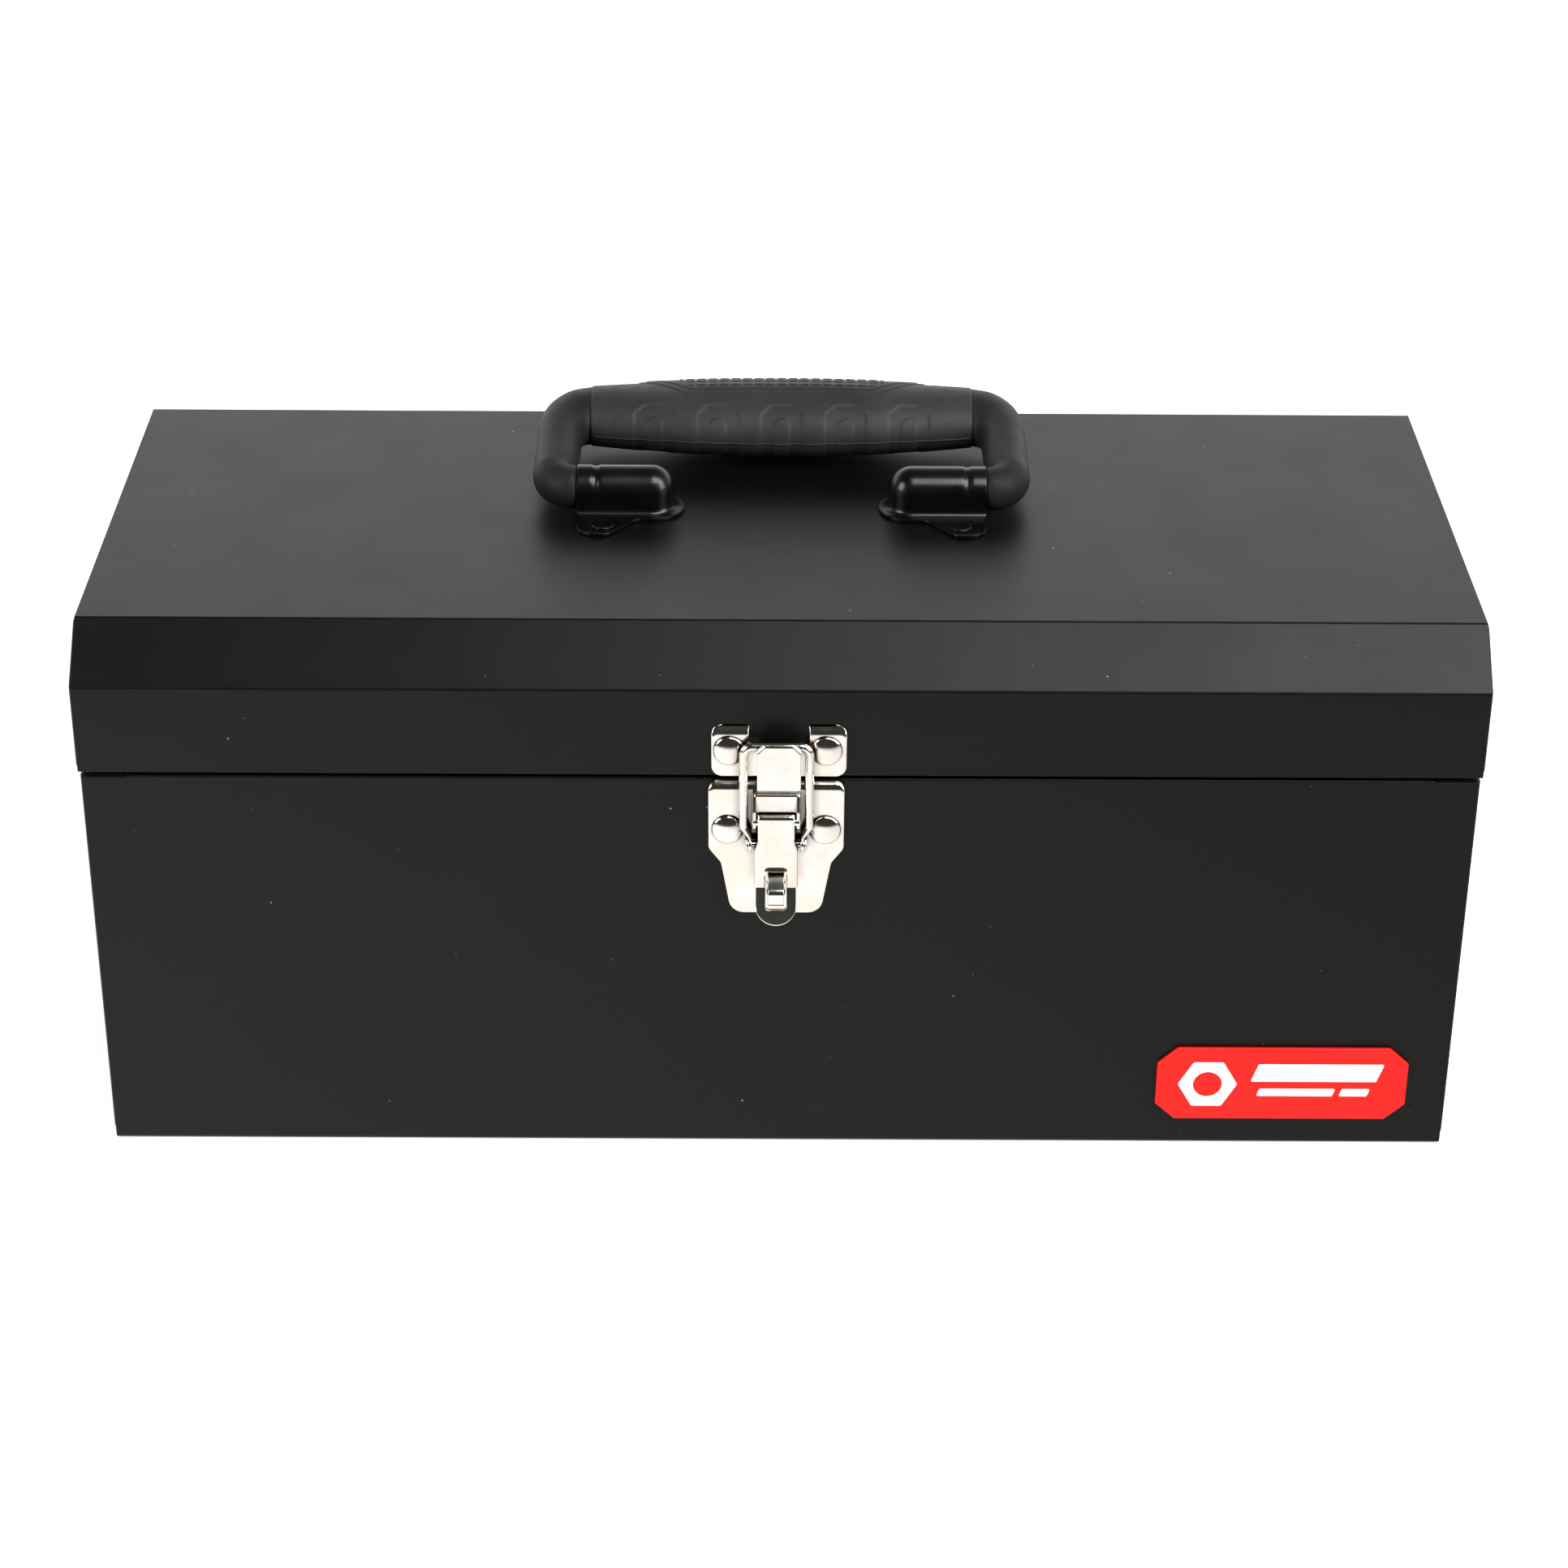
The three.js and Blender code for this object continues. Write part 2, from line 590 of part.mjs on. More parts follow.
function lever() {
  const face = outOfFront(polygon([
    [LATCH_X - LEVER.wide, LEVER.bend],
    [LATCH_X + LEVER.wide, LEVER.bend],
    [LATCH_X + LEVER.wide, 106.4],
    [LATCH_X + LEVER.neck, 109.6],
    [LATCH_X + LEVER.neck, LEVER.top],
    [LATCH_X - LEVER.neck, LEVER.top],
    [LATCH_X - LEVER.neck, 109.6],
    [LATCH_X - LEVER.wide, 106.4],
  ]), LEVER.near, LEVER.far);
  const flangeUpper = [
    [LEVER.near + 0.5, LEVER.top],
    [LEVER.near - 1.6, PIVOT.z + 2],
    [PIVOT.out - 2.1, PIVOT.z],
    [BAIL.out - 1.9, BAIL.pinZ],
    [BAIL.out - 1.2, BAIL.pinZ - 2],
    [LEVER.near + 0.5, BAIL.pinZ - 3],
  ];
  const flangeLower = [
    [LEVER.near + 0.5, BAIL.pinZ + 0.6],
    [BAIL.out - 0.6, BAIL.pinZ - 1.4],
    [LEVER.near - 1.4, LEVER.bend + 1],
    [LEVER.near + 0.5, LEVER.bend],
  ];
  const flanges = [-1, 1].flatMap((side) => {
    const edges = (outer) => {
      const walls = [LATCH_X + side * (outer - LATCH_SHEET), LATCH_X + side * outer];
      return walls.sort((a, b) => a - b);
    };
    return [
      sideProfile(flangeUpper, ...edges(LEVER.neck)),
      sideProfile(flangeLower, ...edges(LEVER.wide)),
    ];
  });
  const width = LEVER.wide - 0.1;
  const outline = new THREE.Shape();
  outline.moveTo(width, 0.3);
  outline.lineTo(-width, 0.3);
  outline.lineTo(-width, -5);
  outline.absarc(0, -5, width, Math.PI, 2 * Math.PI, false);
  outline.closePath();
  const extrusion = { depth: LATCH_SHEET, bevelEnabled: false, curveSegments: 16 };
  const tabGeometry = new THREE.ExtrudeGeometry(outline, extrusion);
  tabGeometry.applyMatrix4(OUT_OF_FRONT).translate(0, LATCH_SHEET, 0).rotateX(-TAB_ANGLE);
  const tab = solid(tabGeometry.translate(LATCH_X, FRONT - LEVER.far, LEVER.bend + 0.2));
  const [slotLeft, slotRight] = [LATCH_X - LEVER_SLOT.half, LATCH_X + LEVER_SLOT.half];
  const slot = frontBox(slotLeft, slotRight, 4, 14, LEVER_SLOT.bottom, LEVER_SLOT.top);
  const pivotHole = rodX(PIVOT.radius + 0.2, LATCH_X - 8, LATCH_X + 8, FRONT - PIVOT.out, PIVOT.z);
  const bailHole = rodX(1.3, LATCH_X - 8, LATCH_X + 8, FRONT - BAIL.out, BAIL.pinZ);
  return cut(join(face, ...flanges, tab), slot, pivotHole, bailHole);
}

const EYE = { inner: 7.1, outer: 8.1, hole: 1.3 };

function bailPin(side) {
  const profile = [[0, 4], [1.1, 4], [1.1, EYE.outer + 0.2], [2.1, EYE.outer + 0.2], [1.8, 9], [0, 9.1]];
  const geometry = latheUp(profile, 16).rotateY(side * Math.PI / 2);
  return solid(geometry.translate(LATCH_X, FRONT - BAIL.out, BAIL.pinZ));
}

function circle(radius, sides) {
  const points = [];
  for (let i = 0; i < sides; i += 1) {
    const turn = (2 * Math.PI * i) / sides;
    points.push(new THREE.Vector2(radius * Math.cos(turn), radius * Math.sin(turn)));
  }
  return new THREE.Shape(points);
}

/** A path of straight runs whose corners are rounded with the given radius. */
function roundedPath(points, radii) {
  const path = new THREE.CurvePath();
  let from = points[0];
  for (let i = 1; i < points.length - 1; i += 1) {
    const back = points[i - 1].clone().sub(points[i]).normalize();
    const ahead = points[i + 1].clone().sub(points[i]).normalize();
    const reach = radii[i - 1] / Math.tan(back.angleTo(ahead) / 2);
    const start = points[i].clone().addScaledVector(back, reach);
    const end = points[i].clone().addScaledVector(ahead, reach);
    path.add(new THREE.LineCurve3(from, start));
    // Control points that make a cubic follow a quarter circle.
    const soft = 0.4477;
    path.add(new THREE.CubicBezierCurve3(
      start,
      points[i].clone().lerp(start, soft),
      points[i].clone().lerp(end, soft),
      end,
    ));
    from = end;
  }
  path.add(new THREE.LineCurve3(from, points[points.length - 1]));
  return path;
}

function sweep(path, radius, sides, steps) {
  const extrusion = { extrudePath: path, steps, bevelEnabled: false };
  return solid(new THREE.ExtrudeGeometry(circle(radius, sides), extrusion));
}

function bailWire() {
  const y = FRONT - BAIL.out;
  const at = (u, z) => new THREE.Vector3(LATCH_X + u, y, z);
  const eyeU = (EYE.inner + EYE.outer) / 2;
  const corners = [
    at(-eyeU, BAIL.pinZ + 1.4),
    at(-eyeU, BAIL.pinZ + 2.4),
    at(-BAIL.half, BAIL.pinZ + 4.6),
    at(-BAIL.half, BAIL.topZ),
    at(BAIL.half, BAIL.topZ),
    at(BAIL.half, BAIL.pinZ + 4.6),
    at(eyeU, BAIL.pinZ + 2.4),
    at(eyeU, BAIL.pinZ + 1.4),
  ];
  const wire = sweep(roundedPath(corners, [0.6, 1.5, 2.6, 2.6, 1.5, 0.6]), BAIL.wire, 8, 56);
  const eyes = [-1, 1].map((side) => {
    const [a, b] = [LATCH_X + side * EYE.inner, LATCH_X + side * EYE.outer].sort((p, q) => p - q);
    return rodX(BAIL.eye, a, b, y, BAIL.pinZ);
  });
  const bore = rodX(EYE.hole, LATCH_X - 12, LATCH_X + 12, y, BAIL.pinZ);
  // The wire's ends are pressed flat where they pass between the ears and the pin heads.
  const [low, high] = [BAIL.pinZ - 4, BAIL.pinZ + 2.4];
  const inside = frontBox(LATCH_X - EYE.inner, LATCH_X + EYE.inner, 0, 9, low, high + 2);
  const outside = [-1, 1].map((side) => {
    const [a, b] = [LATCH_X + side * EYE.outer, LATCH_X + side * 12].sort((p, q) => p - q);
    return frontBox(a, b, 0, 9, low, high);
  });
  return cut(join(wire, ...eyes), bore, inside, ...outside);
}

piece('latch_lever', lever(), NICKEL());
for (const [name, side] of [['left', -1], ['right', 1]]) {
  piece(`bail_pin_${name}`, bailPin(side), NICKEL());
}
piece('bail_wire', bailWire(), NICKEL());

// ---------------------------------------------------------------- handle brackets

/** The bracket's tunnel and dome, grown outwards from the handle's axis by a radius. */
function hoodBody(radius, floor, openEnd) {
  const arch = new THREE.Shape();
  arch.moveTo(-radius, floor);
  arch.lineTo(radius, floor);
  arch.lineTo(radius, PIVOT_Z);
  arch.absarc(0, PIVOT_Z, radius, 0, Math.PI, false);
  arch.closePath();
  const tunnel = alongX(arch, HOOD.domeX, openEnd, 12);
  const domeProfile = [[0, floor], [radius, floor], [radius, PIVOT_Z]];
  const rings = 6;
  for (let i = 1; i <= rings; i += 1) {
    const turn = (Math.PI / 2) * (i / rings);
    domeProfile.push([i === rings ? 0 : radius * Math.cos(turn), PIVOT_Z + radius * Math.sin(turn)]);
  }
  return join(tunnel, solid(latheUp(domeProfile).translate(HOOD.domeX, 0, 0)));
}

function handleBracket(side) {
  const floor = LID.top + GAP;
  const skirt = HOOD.outer + HOOD.flange;
  const lobe = { near: 46.5, far: 61.8, reach: 21.4 };
  const plan = new THREE.Shape();
  plan.moveTo(HOOD.domeX, -skirt);
  plan.lineTo(lobe.near - 1, -skirt);
  plan.quadraticCurveTo(lobe.near + 1, -skirt, lobe.near + 2, -skirt - 4);
  plan.quadraticCurveTo(lobe.near + 3.5, -lobe.reach, FOOT_RIVET.x, -lobe.reach);
  plan.quadraticCurveTo(lobe.far, -lobe.reach, lobe.far, -FOOT_RIVET.y);
  plan.lineTo(lobe.far, FOOT_RIVET.y);
  plan.quadraticCurveTo(lobe.far, lobe.reach, FOOT_RIVET.x, lobe.reach);
  plan.quadraticCurveTo(lobe.near + 3.5, lobe.reach, lobe.near + 2, skirt + 4);
  plan.quadraticCurveTo(lobe.near + 1, skirt, lobe.near - 1, skirt);
  plan.lineTo(HOOD.domeX, skirt);
  plan.absarc(HOOD.domeX, 0, skirt, Math.PI / 2, 1.5 * Math.PI, false);
  const foot = upward(plan, floor, floor + HOOD.sheet);
  const shell = join(foot, hoodBody(HOOD.outer, floor, HOOD.openX));
  const hollow = hoodBody(HOOD.outer - HOOD.sheet, floor - 1, HOOD.openX + 1);
  const holes = [-1, 1].map((end) => verticalHole(FOOT_RIVET.x, end * FOOT_RIVET.y, RIVET_HOLE, floor));
  const bracket = cut(shell, hollow, ...holes);
  return side < 0 ? bracket.mirror([1, 0, 0]) : bracket;
}

for (const [name, side] of [['left', -1], ['right', 1]]) {
  piece(`handle_bracket_${name}`, handleBracket(side), GLOSS());
}
for (const [name, x, y] of BRACKET_RIVETS) {
  const face = LID.top + GAP + HOOD.sheet + 0.1;
  const grip = face - LID.top + SHEET + GAP;
  const { head, rise, shank, tail } = FOOT_RIVET;
  const shape = solid(rivet(head, rise, shank, grip, tail).translate(x, y, face));
  piece(`bracket_rivet_${name}`, shape, GLOSS());
}

// ---------------------------------------------------------------- handle

// Laid back on the lid, the handle tilts up just enough for its thick grip to clear the roof.
const HANDLE_TILT = Math.asin((GRIP.thick / 2 + GRIP.clearance - HANDLE.pivotRise) / HANDLE.reach);

/** Move a part drawn around the pivot axis, reaching along +Y, to where the folded handle lies. */
function laidBack(part) {
  return part.rotate([THREE.MathUtils.radToDeg(HANDLE_TILT), 0, 0]).translate([0, HANDLE.pivotY, PIVOT_Z]);
}

function handleFrame() {
  const at = (x, y) => new THREE.Vector3(x, y, 0);
  const corners = [
    at(-58.5, 0),
    at(-HANDLE.half, 0),
    at(-HANDLE.half, HANDLE.reach),
    at(HANDLE.half, HANDLE.reach),
    at(HANDLE.half, 0),
    at(58.5, 0),
  ];
  const bow = sweep(roundedPath(corners, [7.6, 11, 11, 7.6]), HANDLE.tube, 12, 48);
  const clearOfHood = box(-HOOD.openX - 0.4, HOOD.openX + 0.4, -9, 9, -9, 9);
  const stubs = [-1, 1].map((side) => {
    const [a, b] = [side * 41, side * (HOOD.openX + 3)].sort((p, q) => p - q);
    return rodX(HANDLE.stub, a, b, 0, 0);
  });
  return laidBack(join(cut(bow, clearOfHood), ...stubs));
}

function handleGrip() {
  const rings = 8;
  const profile = [];
  for (let i = 0; i <= rings; i += 1) {
    const along = -1 + (2 * i) / rings;
    const swell = 1 - (1 - GRIP.endScale) * along * along;
    profile.push([swell * GRIP.thick / 2, along * GRIP.half]);
  }
  const closed = [[0, -GRIP.half], ...profile, [0, GRIP.half]];
  const barrel = latheUp(closed, 20).scale(1, GRIP.deep / GRIP.thick, 1).rotateY(Math.PI / 2);
  const bore = rodX(HANDLE.tube + 0.8, -GRIP.half - 1, GRIP.half + 1, 0, 0);
  return laidBack(cut(solid(barrel), bore).translate([0, HANDLE.reach, 0]));
}

piece('handle_frame', handleFrame(), PLASTIC());
piece('handle_grip', handleGrip(), RUBBER());

// ---------------------------------------------------------------- lift-out tray

const STRAP = { half: 55, width: 16, top: 133, foot: 16, sheet: 1.6 };
const TRAY_RIVET = { x: 63, head: 3.2, rise: 1.2, shank: 1.5, tail: 2.4, hole: 1.7 };

function trayWrap() {
  const [half, y, z] = [TRAY.length / 2 - 0.6, TRAY.width / 2, TRAY.bottom];
  const line = fillet([[-y, z + TRAY.height], [-y, z], [y, z], [y, z + TRAY.height]], 2);
  const shell = alongX(bentSheet(line, SHEET), -half, half);
  const holes = [-1, 1].map((side) => verticalHole(side * TRAY_RIVET.x, 0, TRAY_RIVET.hole, z));
  return cut(shell, ...holes);
}

function trayEnd(side) {
  const reach = TRAY.width / 2 - SHEET - 0.2;
  const outline = (inset) => [
    [-reach + inset, TRAY.bottom + SHEET + 0.2 + inset, 2],
    [reach - inset, TRAY.bottom + SHEET + 0.2 + inset, 2],
    [reach - inset, TRAY.bottom + TRAY.height - inset, 0.5],
    [-reach + inset, TRAY.bottom + TRAY.height - inset, 0.5],
  ];
  return endPan(outline, side, TRAY.length / 2, SHEET);
}

function trayHandle() {
  const { half, width, top, foot, sheet } = STRAP;
  const floor = TRAY.bottom + SHEET + GAP;
  const line = fillet(
    [[-half - foot, floor], [-half, floor], [-half, top], [half, top], [half, floor], [half + foot, floor]],
    4,
  );
  const shape = bentSheet(line, sheet);
  const geometry = new THREE.ExtrudeGeometry(shape, { depth: width, bevelEnabled: false });
  const strap = solid(geometry.rotateX(Math.PI / 2).translate(0, width / 2, 0));
  const holes = [-1, 1].map((side) => verticalHole(side * TRAY_RIVET.x, 0, TRAY_RIVET.hole, floor));
  return cut(strap, ...holes);
}

piece('tray_wrap', trayWrap(), PAINT());
piece('tray_handle', trayHandle(), PAINT());
for (const [name, side] of [['left', -1], ['right', 1]]) {
  piece(`tray_end_${name}`, trayEnd(side), PAINT());
  const face = TRAY.bottom + SHEET + GAP + STRAP.sheet + 0.1;
  const { head, rise, shank, tail } = TRAY_RIVET;
  const shape = rivet(head, rise, shank, face - TRAY.bottom + GAP, tail);
  shape.translate(side * TRAY_RIVET.x, 0, face);
  piece(`tray_rivet_${name}`, solid(shape), STEEL());
}

export default model;
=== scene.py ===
"""Black steel hip-roof tool box with a nickel draw latch and a folding handle, around its CAD frame.

Shapes are worked out in millimetres and scaled to metres when a mesh is made. The box runs along X,
its latch faces -Y and +Z is up.
"""

import json
from math import asin, atan2, cos, exp, hypot, pi, radians, sin, sqrt, tan

import bmesh
import bpy
from mathutils import Matrix, Vector

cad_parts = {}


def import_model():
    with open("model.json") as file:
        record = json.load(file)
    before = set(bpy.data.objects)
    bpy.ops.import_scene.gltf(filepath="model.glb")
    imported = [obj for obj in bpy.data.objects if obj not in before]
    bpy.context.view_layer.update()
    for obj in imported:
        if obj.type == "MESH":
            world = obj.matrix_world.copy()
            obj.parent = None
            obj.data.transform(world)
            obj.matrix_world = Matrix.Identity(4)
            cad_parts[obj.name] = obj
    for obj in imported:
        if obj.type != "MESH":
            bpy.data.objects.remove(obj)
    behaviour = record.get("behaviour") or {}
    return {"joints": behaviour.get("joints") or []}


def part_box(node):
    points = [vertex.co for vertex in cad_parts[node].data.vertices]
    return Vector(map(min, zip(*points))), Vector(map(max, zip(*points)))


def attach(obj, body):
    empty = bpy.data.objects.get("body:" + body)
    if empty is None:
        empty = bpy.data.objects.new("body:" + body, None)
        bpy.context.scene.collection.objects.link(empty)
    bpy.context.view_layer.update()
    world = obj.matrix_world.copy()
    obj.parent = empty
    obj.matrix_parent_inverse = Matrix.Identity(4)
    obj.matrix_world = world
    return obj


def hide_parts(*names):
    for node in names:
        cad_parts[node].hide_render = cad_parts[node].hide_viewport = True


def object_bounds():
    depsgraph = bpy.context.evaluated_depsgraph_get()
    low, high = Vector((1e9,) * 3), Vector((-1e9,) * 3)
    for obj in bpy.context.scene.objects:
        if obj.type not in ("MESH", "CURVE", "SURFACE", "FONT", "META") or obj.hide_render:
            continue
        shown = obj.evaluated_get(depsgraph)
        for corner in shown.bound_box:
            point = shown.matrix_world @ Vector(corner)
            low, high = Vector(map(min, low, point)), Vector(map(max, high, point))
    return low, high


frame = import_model()
CAD_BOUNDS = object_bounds()
MM = 0.001
SIDES = (("left", -1), ("right", 1))


def cad_box(node):
    """Lowest and highest corners of a CAD node in millimetres."""
    low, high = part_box(node)
    return low / MM, high / MM


def middle_x(node):
    low, high = cad_box(node)
    return (low.x + high.x) / 2


JOINTS = {joint["name"]: joint for joint in frame["joints"]}


def joint_point(name):
    return Vector(JOINTS[name]["pos_m"]) / MM


# ---- sizes, from the frame

SHEET = 0.8
WRAP_HIGH = cad_box("body_wrap")[1]
BODY_END = cad_box("body_end_right")[1].x
BODY_TOP = WRAP_HIGH.z
HALF_WIDTH = WRAP_HIGH.y
FRONT = -HALF_WIDTH
LID_LOW, LID_HIGH = cad_box("lid_wrap")
LID_END = cad_box("lid_end_right")[1].x
LID_HALF = LID_HIGH.y
LID_TOP = LID_HIGH.z
HIP_DROP = 14.8
HIP = 15.75
LID_CREASE = LID_TOP - HIP_DROP
LATCH_X = middle_x("latch_base_plate")
STRIKE_X = middle_x("strike_plate")
HINGE = joint_point("lid_hinge")
HANDLE_PIVOT = joint_point("handle_pivot")
LEVER_PIVOT = joint_point("lever_pivot")
BAIL_PIVOT = joint_point("bail_swing")

# ---- mesh helpers


def settle(made, settings):
    """Set an object's attributes from a dictionary."""
    for key, value in settings.items():
        setattr(made, key, value)
    return made


def modify(obj, name, kind, **settings):
    settle(obj.modifiers.new(name, kind), settings)


def arc(centre, radius, start, end, steps):
    """Points on a circular arc; angles in degrees."""
    angles = [radians(start + (end - start) * i / steps) for i in range(steps + 1)]
    return [(centre[0] + radius * cos(turn), centre[1] + radius * sin(turn)) for turn in angles]


def turns(steps, degrees=90.0):
    """Angles in radians from zero, one per step and one for the end."""
    return [radians(degrees * k / steps) for k in range(steps + 1)]


def circle(steps):
    """Angles in radians all the way round, without the last one."""
    return [2 * pi * k / steps for k in range(steps)]


def round_corners(points, radii, steps=6, closed=True):
    """Replace the corners of a line or loop of 2-D points with arcs."""
    count = len(points)
    radii = radii if isinstance(radii, (list, tuple)) else [radii] * count
    out = []
    for i, point in enumerate(points):
        here = Vector(point)
        if radii[i] <= 0 or (not closed and i in (0, count - 1)):
            out.append(tuple(here))
            continue
        back = (Vector(points[i - 1]) - here).normalized()
        ahead = (Vector(points[(i + 1) % count]) - here).normalized()
        half = back.angle(ahead) / 2
        reach = radii[i] / tan(half)
        start = here + back * reach
        end = here + ahead * reach
        centre = here + (back + ahead).normalized() * (radii[i] / sin(half))
        first = atan2(start.y - centre.y, start.x - centre.x)
        turn = atan2(end.y - centre.y, end.x - centre.x) - first
        turn = (turn + pi) % (2 * pi) - pi
        for angle in (first + turn * k / steps for k in range(steps + 1)):
            out.append((centre.x + radii[i] * cos(angle), centre.y + radii[i] * sin(angle)))
    return out


def thicken(line, thickness):
    """A closed loop: the line, then the same line moved to its left by the sheet's thickness."""
    inner = []
    for i, point in enumerate(line):
        here = Vector(point)
        before = Vector(line[i - 1]) if i > 0 else here * 2 - Vector(line[1])
        after = Vector(line[i + 1]) if i < len(line) - 1 else here * 2 - Vector(line[-2])
        a = (here - before).normalized()
        b = (after - here).normalized()
        left = Vector((-a.y - b.y, a.x + b.x)).normalized()
        stretch = 1 / max(cos(a.angle(b, 0) / 2), 0.4)
        inner.append(tuple(here + left * thickness * stretch))
    return list(line) + inner[::-1]


def bent(points, radii, thickness, steps=6):
    """A bent sheet's section: a line with its corners rounded, thickened to its left."""
    return thicken(round_corners(points, radii, steps, closed=False), thickness)


def loft(rings, caps=True, closed=True):
    """Faces between rings of equal length, as (vertices, faces)."""
    size = len(rings[0])
    verts = [tuple(p) for ring in rings for p in ring]
    faces = []
    span = size if closed else size - 1
    for low in range(0, (len(rings) - 1) * size, size):
        for i in range(span):
            j, high = (i + 1) % size, low + size
            faces.append((low + i, low + j, high + j, high + i))
    if caps:
        faces.append(tuple(range(size))[::-1])
        faces.append(tuple((len(rings) - 1) * size + i for i in range(size)))
    return verts, faces


def along_x(loop, x0, x1):
    """A loop of (y, z) points extruded along X."""
    return loft([[(x0, y, z) for y, z in loop], [(x1, y, z) for y, z in loop]])


def lathe(profile, axis_point, axis, steps):
    """Turn a profile of (radius, height) about an axis. The profile starts and ends on the axis."""
    axis = Vector(axis).normalized()
    side = axis.orthogonal().normalized()
    other = axis.cross(side)
    base = Vector(axis_point)
    verts, faces, rings = [], [], []
    for radius, height in profile:
        centre = base + axis * height
        if radius < 1e-6:
            rings.append([len(verts)])
            verts.append(tuple(centre))
            continue
        rings.append(list(range(len(verts), len(verts) + steps)))
        for turn in circle(steps):
            verts.append(tuple(centre + side * radius * cos(turn) + other * radius * sin(turn)))
    for low, high in zip(rings, rings[1:]):
        for i in range(steps):
            j = (i + 1) % steps
            corners = (low[i % len(low)], low[j % len(low)], high[j % len(high)], high[i % len(high)])
            faces.append(tuple(dict.fromkeys(corners)))
    return verts, faces


def bm_of(*shapes):
    """One bmesh holding several (vertices, faces) shapes."""
    bm = bmesh.new()
    for verts, faces in shapes:
        made = [bm.verts.new(v) for v in verts]
        for face in faces:
            bm.faces.new([made[i] for i in face])
    bmesh.ops.remove_doubles(bm, verts=bm.verts, dist=1e-4)
    bmesh.ops.recalc_face_normals(bm, faces=bm.faces)
    return bm


def offset_outline(corners, insets, steps):
    """Move each edge of an outline inwards and round its corners; a corner is (a, b, radius)."""
    count = len(corners)
    points, radii = [], []
    for i, (a, b, radius) in enumerate(corners):
        here = Vector((a, b))
        into = (here - Vector(corners[i - 1][:2])).normalized()
        away = (Vector(corners[(i + 1) % count][:2]) - here).normalized()
        before, after = insets[i - 1], insets[i]
        start = here + Vector((-into.y, into.x)) * before
        gap = here + Vector((-away.y, away.x)) * after - start
        bend = into.x * away.y - into.y * away.x
        points.append(start + into * ((gap.x * away.y - gap.y * away.x) / bend))
        shift = (before + after) / 2
        radii.append(max(radius - shift, 0.12) if bend > 0 else radius + shift)
    return round_corners(points, radii, steps)


CORNER_STEPS = 5
ROLL_STEPS = 5


def pressed(corners, place, depth, rolls, sheet=None):
    """A stamped plate with a rolled rim. place(a, b, back) puts a point; back is measured from its face.

    Without a sheet thickness the plate is solid, otherwise it is hollow behind.
    """
    count = len(corners)
    rolls = rolls if isinstance(rolls, (list, tuple)) else [rolls] * count

    def ring(insets, backs):
        points = []
        for i, (a, b) in enumerate(offset_outline(corners, insets, CORNER_STEPS)):
            corner, share = divmod(i, CORNER_STEPS + 1)
            share /= CORNER_STEPS
            back = backs[corner - 1] * (1 - share) + backs[corner] * share
            points.append(place(a, b, back))
        return points

    rings = [ring([0] * count, [depth] * count)]
    for turn in turns(ROLL_STEPS):
        backs = [min(r * (1 - sin(turn)), depth) for r in rolls]
        rings.append(ring([r * (1 - cos(turn)) for r in rolls], backs))
    verts, faces = loft(rings, caps=False)
    size = len(rings[0])
    faces.append(tuple((len(rings) - 1) * size + i for i in range(size)))
    if sheet is None:
        faces.append(tuple(range(size)))
        return bm_of((verts, faces))
    start = len(verts)
    for back in (depth, sheet):
        verts += ring([sheet] * count, [back] * count)
    for i in range(size):
        j = (i + 1) % size
        faces.append((i, j, start + j, start + i))
        faces.append((start + i, start + j, start + size + j, start + size + i))
    faces.append(tuple(start + size + i for i in range(size)))
    return bm_of((verts, faces))


def mirrored(right, middle=0.0):
    """A closed outline from its right half, from the foot up; a corner is (offset, height, radius)."""
    left = [(middle - a, b, radius) for a, b, radius in right]
    right = [(middle + a, b, radius) for a, b, radius in right]
    return left[:1] + right + left[:0:-1]


def facing_front(face):
    """Placement for plates on the front: (x, z) in view, the face standing out by some distance."""
    return lambda a, b, back: (a, FRONT - face + back, b)


def mesh_of(name, bm):
    """The bmesh as a mesh of its own; the bmesh is used up."""
    mesh = bpy.data.meshes.new(name)
    bm.to_mesh(mesh)
    bm.free()
    return mesh


def in_scene(name, data):
    """A new object, linked to the scene."""
    obj = bpy.data.objects.new(name, data)
    bpy.context.scene.collection.objects.link(obj)
    return obj


def scratch_object(bm, recalculate=True):
    if recalculate:
        bmesh.ops.recalc_face_normals(bm, faces=bm.faces)
    return in_scene("scratch", mesh_of("scratch", bm))


def discard(obj):
    mesh = obj.data
    bpy.data.objects.remove(obj)
    bpy.data.meshes.remove(mesh)


def applied(obj):
    """The object's mesh with its modifiers applied; the object itself is removed."""
    bpy.context.view_layer.update()
    result = obj.evaluated_get(bpy.context.evaluated_depsgraph_get())
    out = bmesh.new()
    out.from_mesh(result.to_mesh())
    result.to_mesh_clear()
    discard(obj)
    return out


def carved(bm, *cutters):
    """Cut closed shapes out of another."""
    target = scratch_object(bm)
    tools = [scratch_object(cutter) for cutter in cutters]
    for tool in tools:
        modify(target, "cut", "BOOLEAN", operation="DIFFERENCE", solver="EXACT", object=tool)
    out = applied(target)
    for tool in tools:
        discard(tool)
    return out


def prism(outline, place, low, high):
    """An outline extruded between two depths."""
    return bm_of(loft([[place(a, b, low) for a, b in outline], [place(a, b, high) for a, b in outline]]))


CUT_DEPTH = 20.0


def slot_shape(x0, x1, z0, z1, radius, near=-2.0):
    """A cutter through the front: a window with rounded corners."""
    outline = round_corners([(x0, z0), (x1, z0), (x1, z1), (x0, z1)], radius, 4)
    return prism(outline, lambda a, b, out: (a, FRONT - out, b), near, CUT_DEPTH)


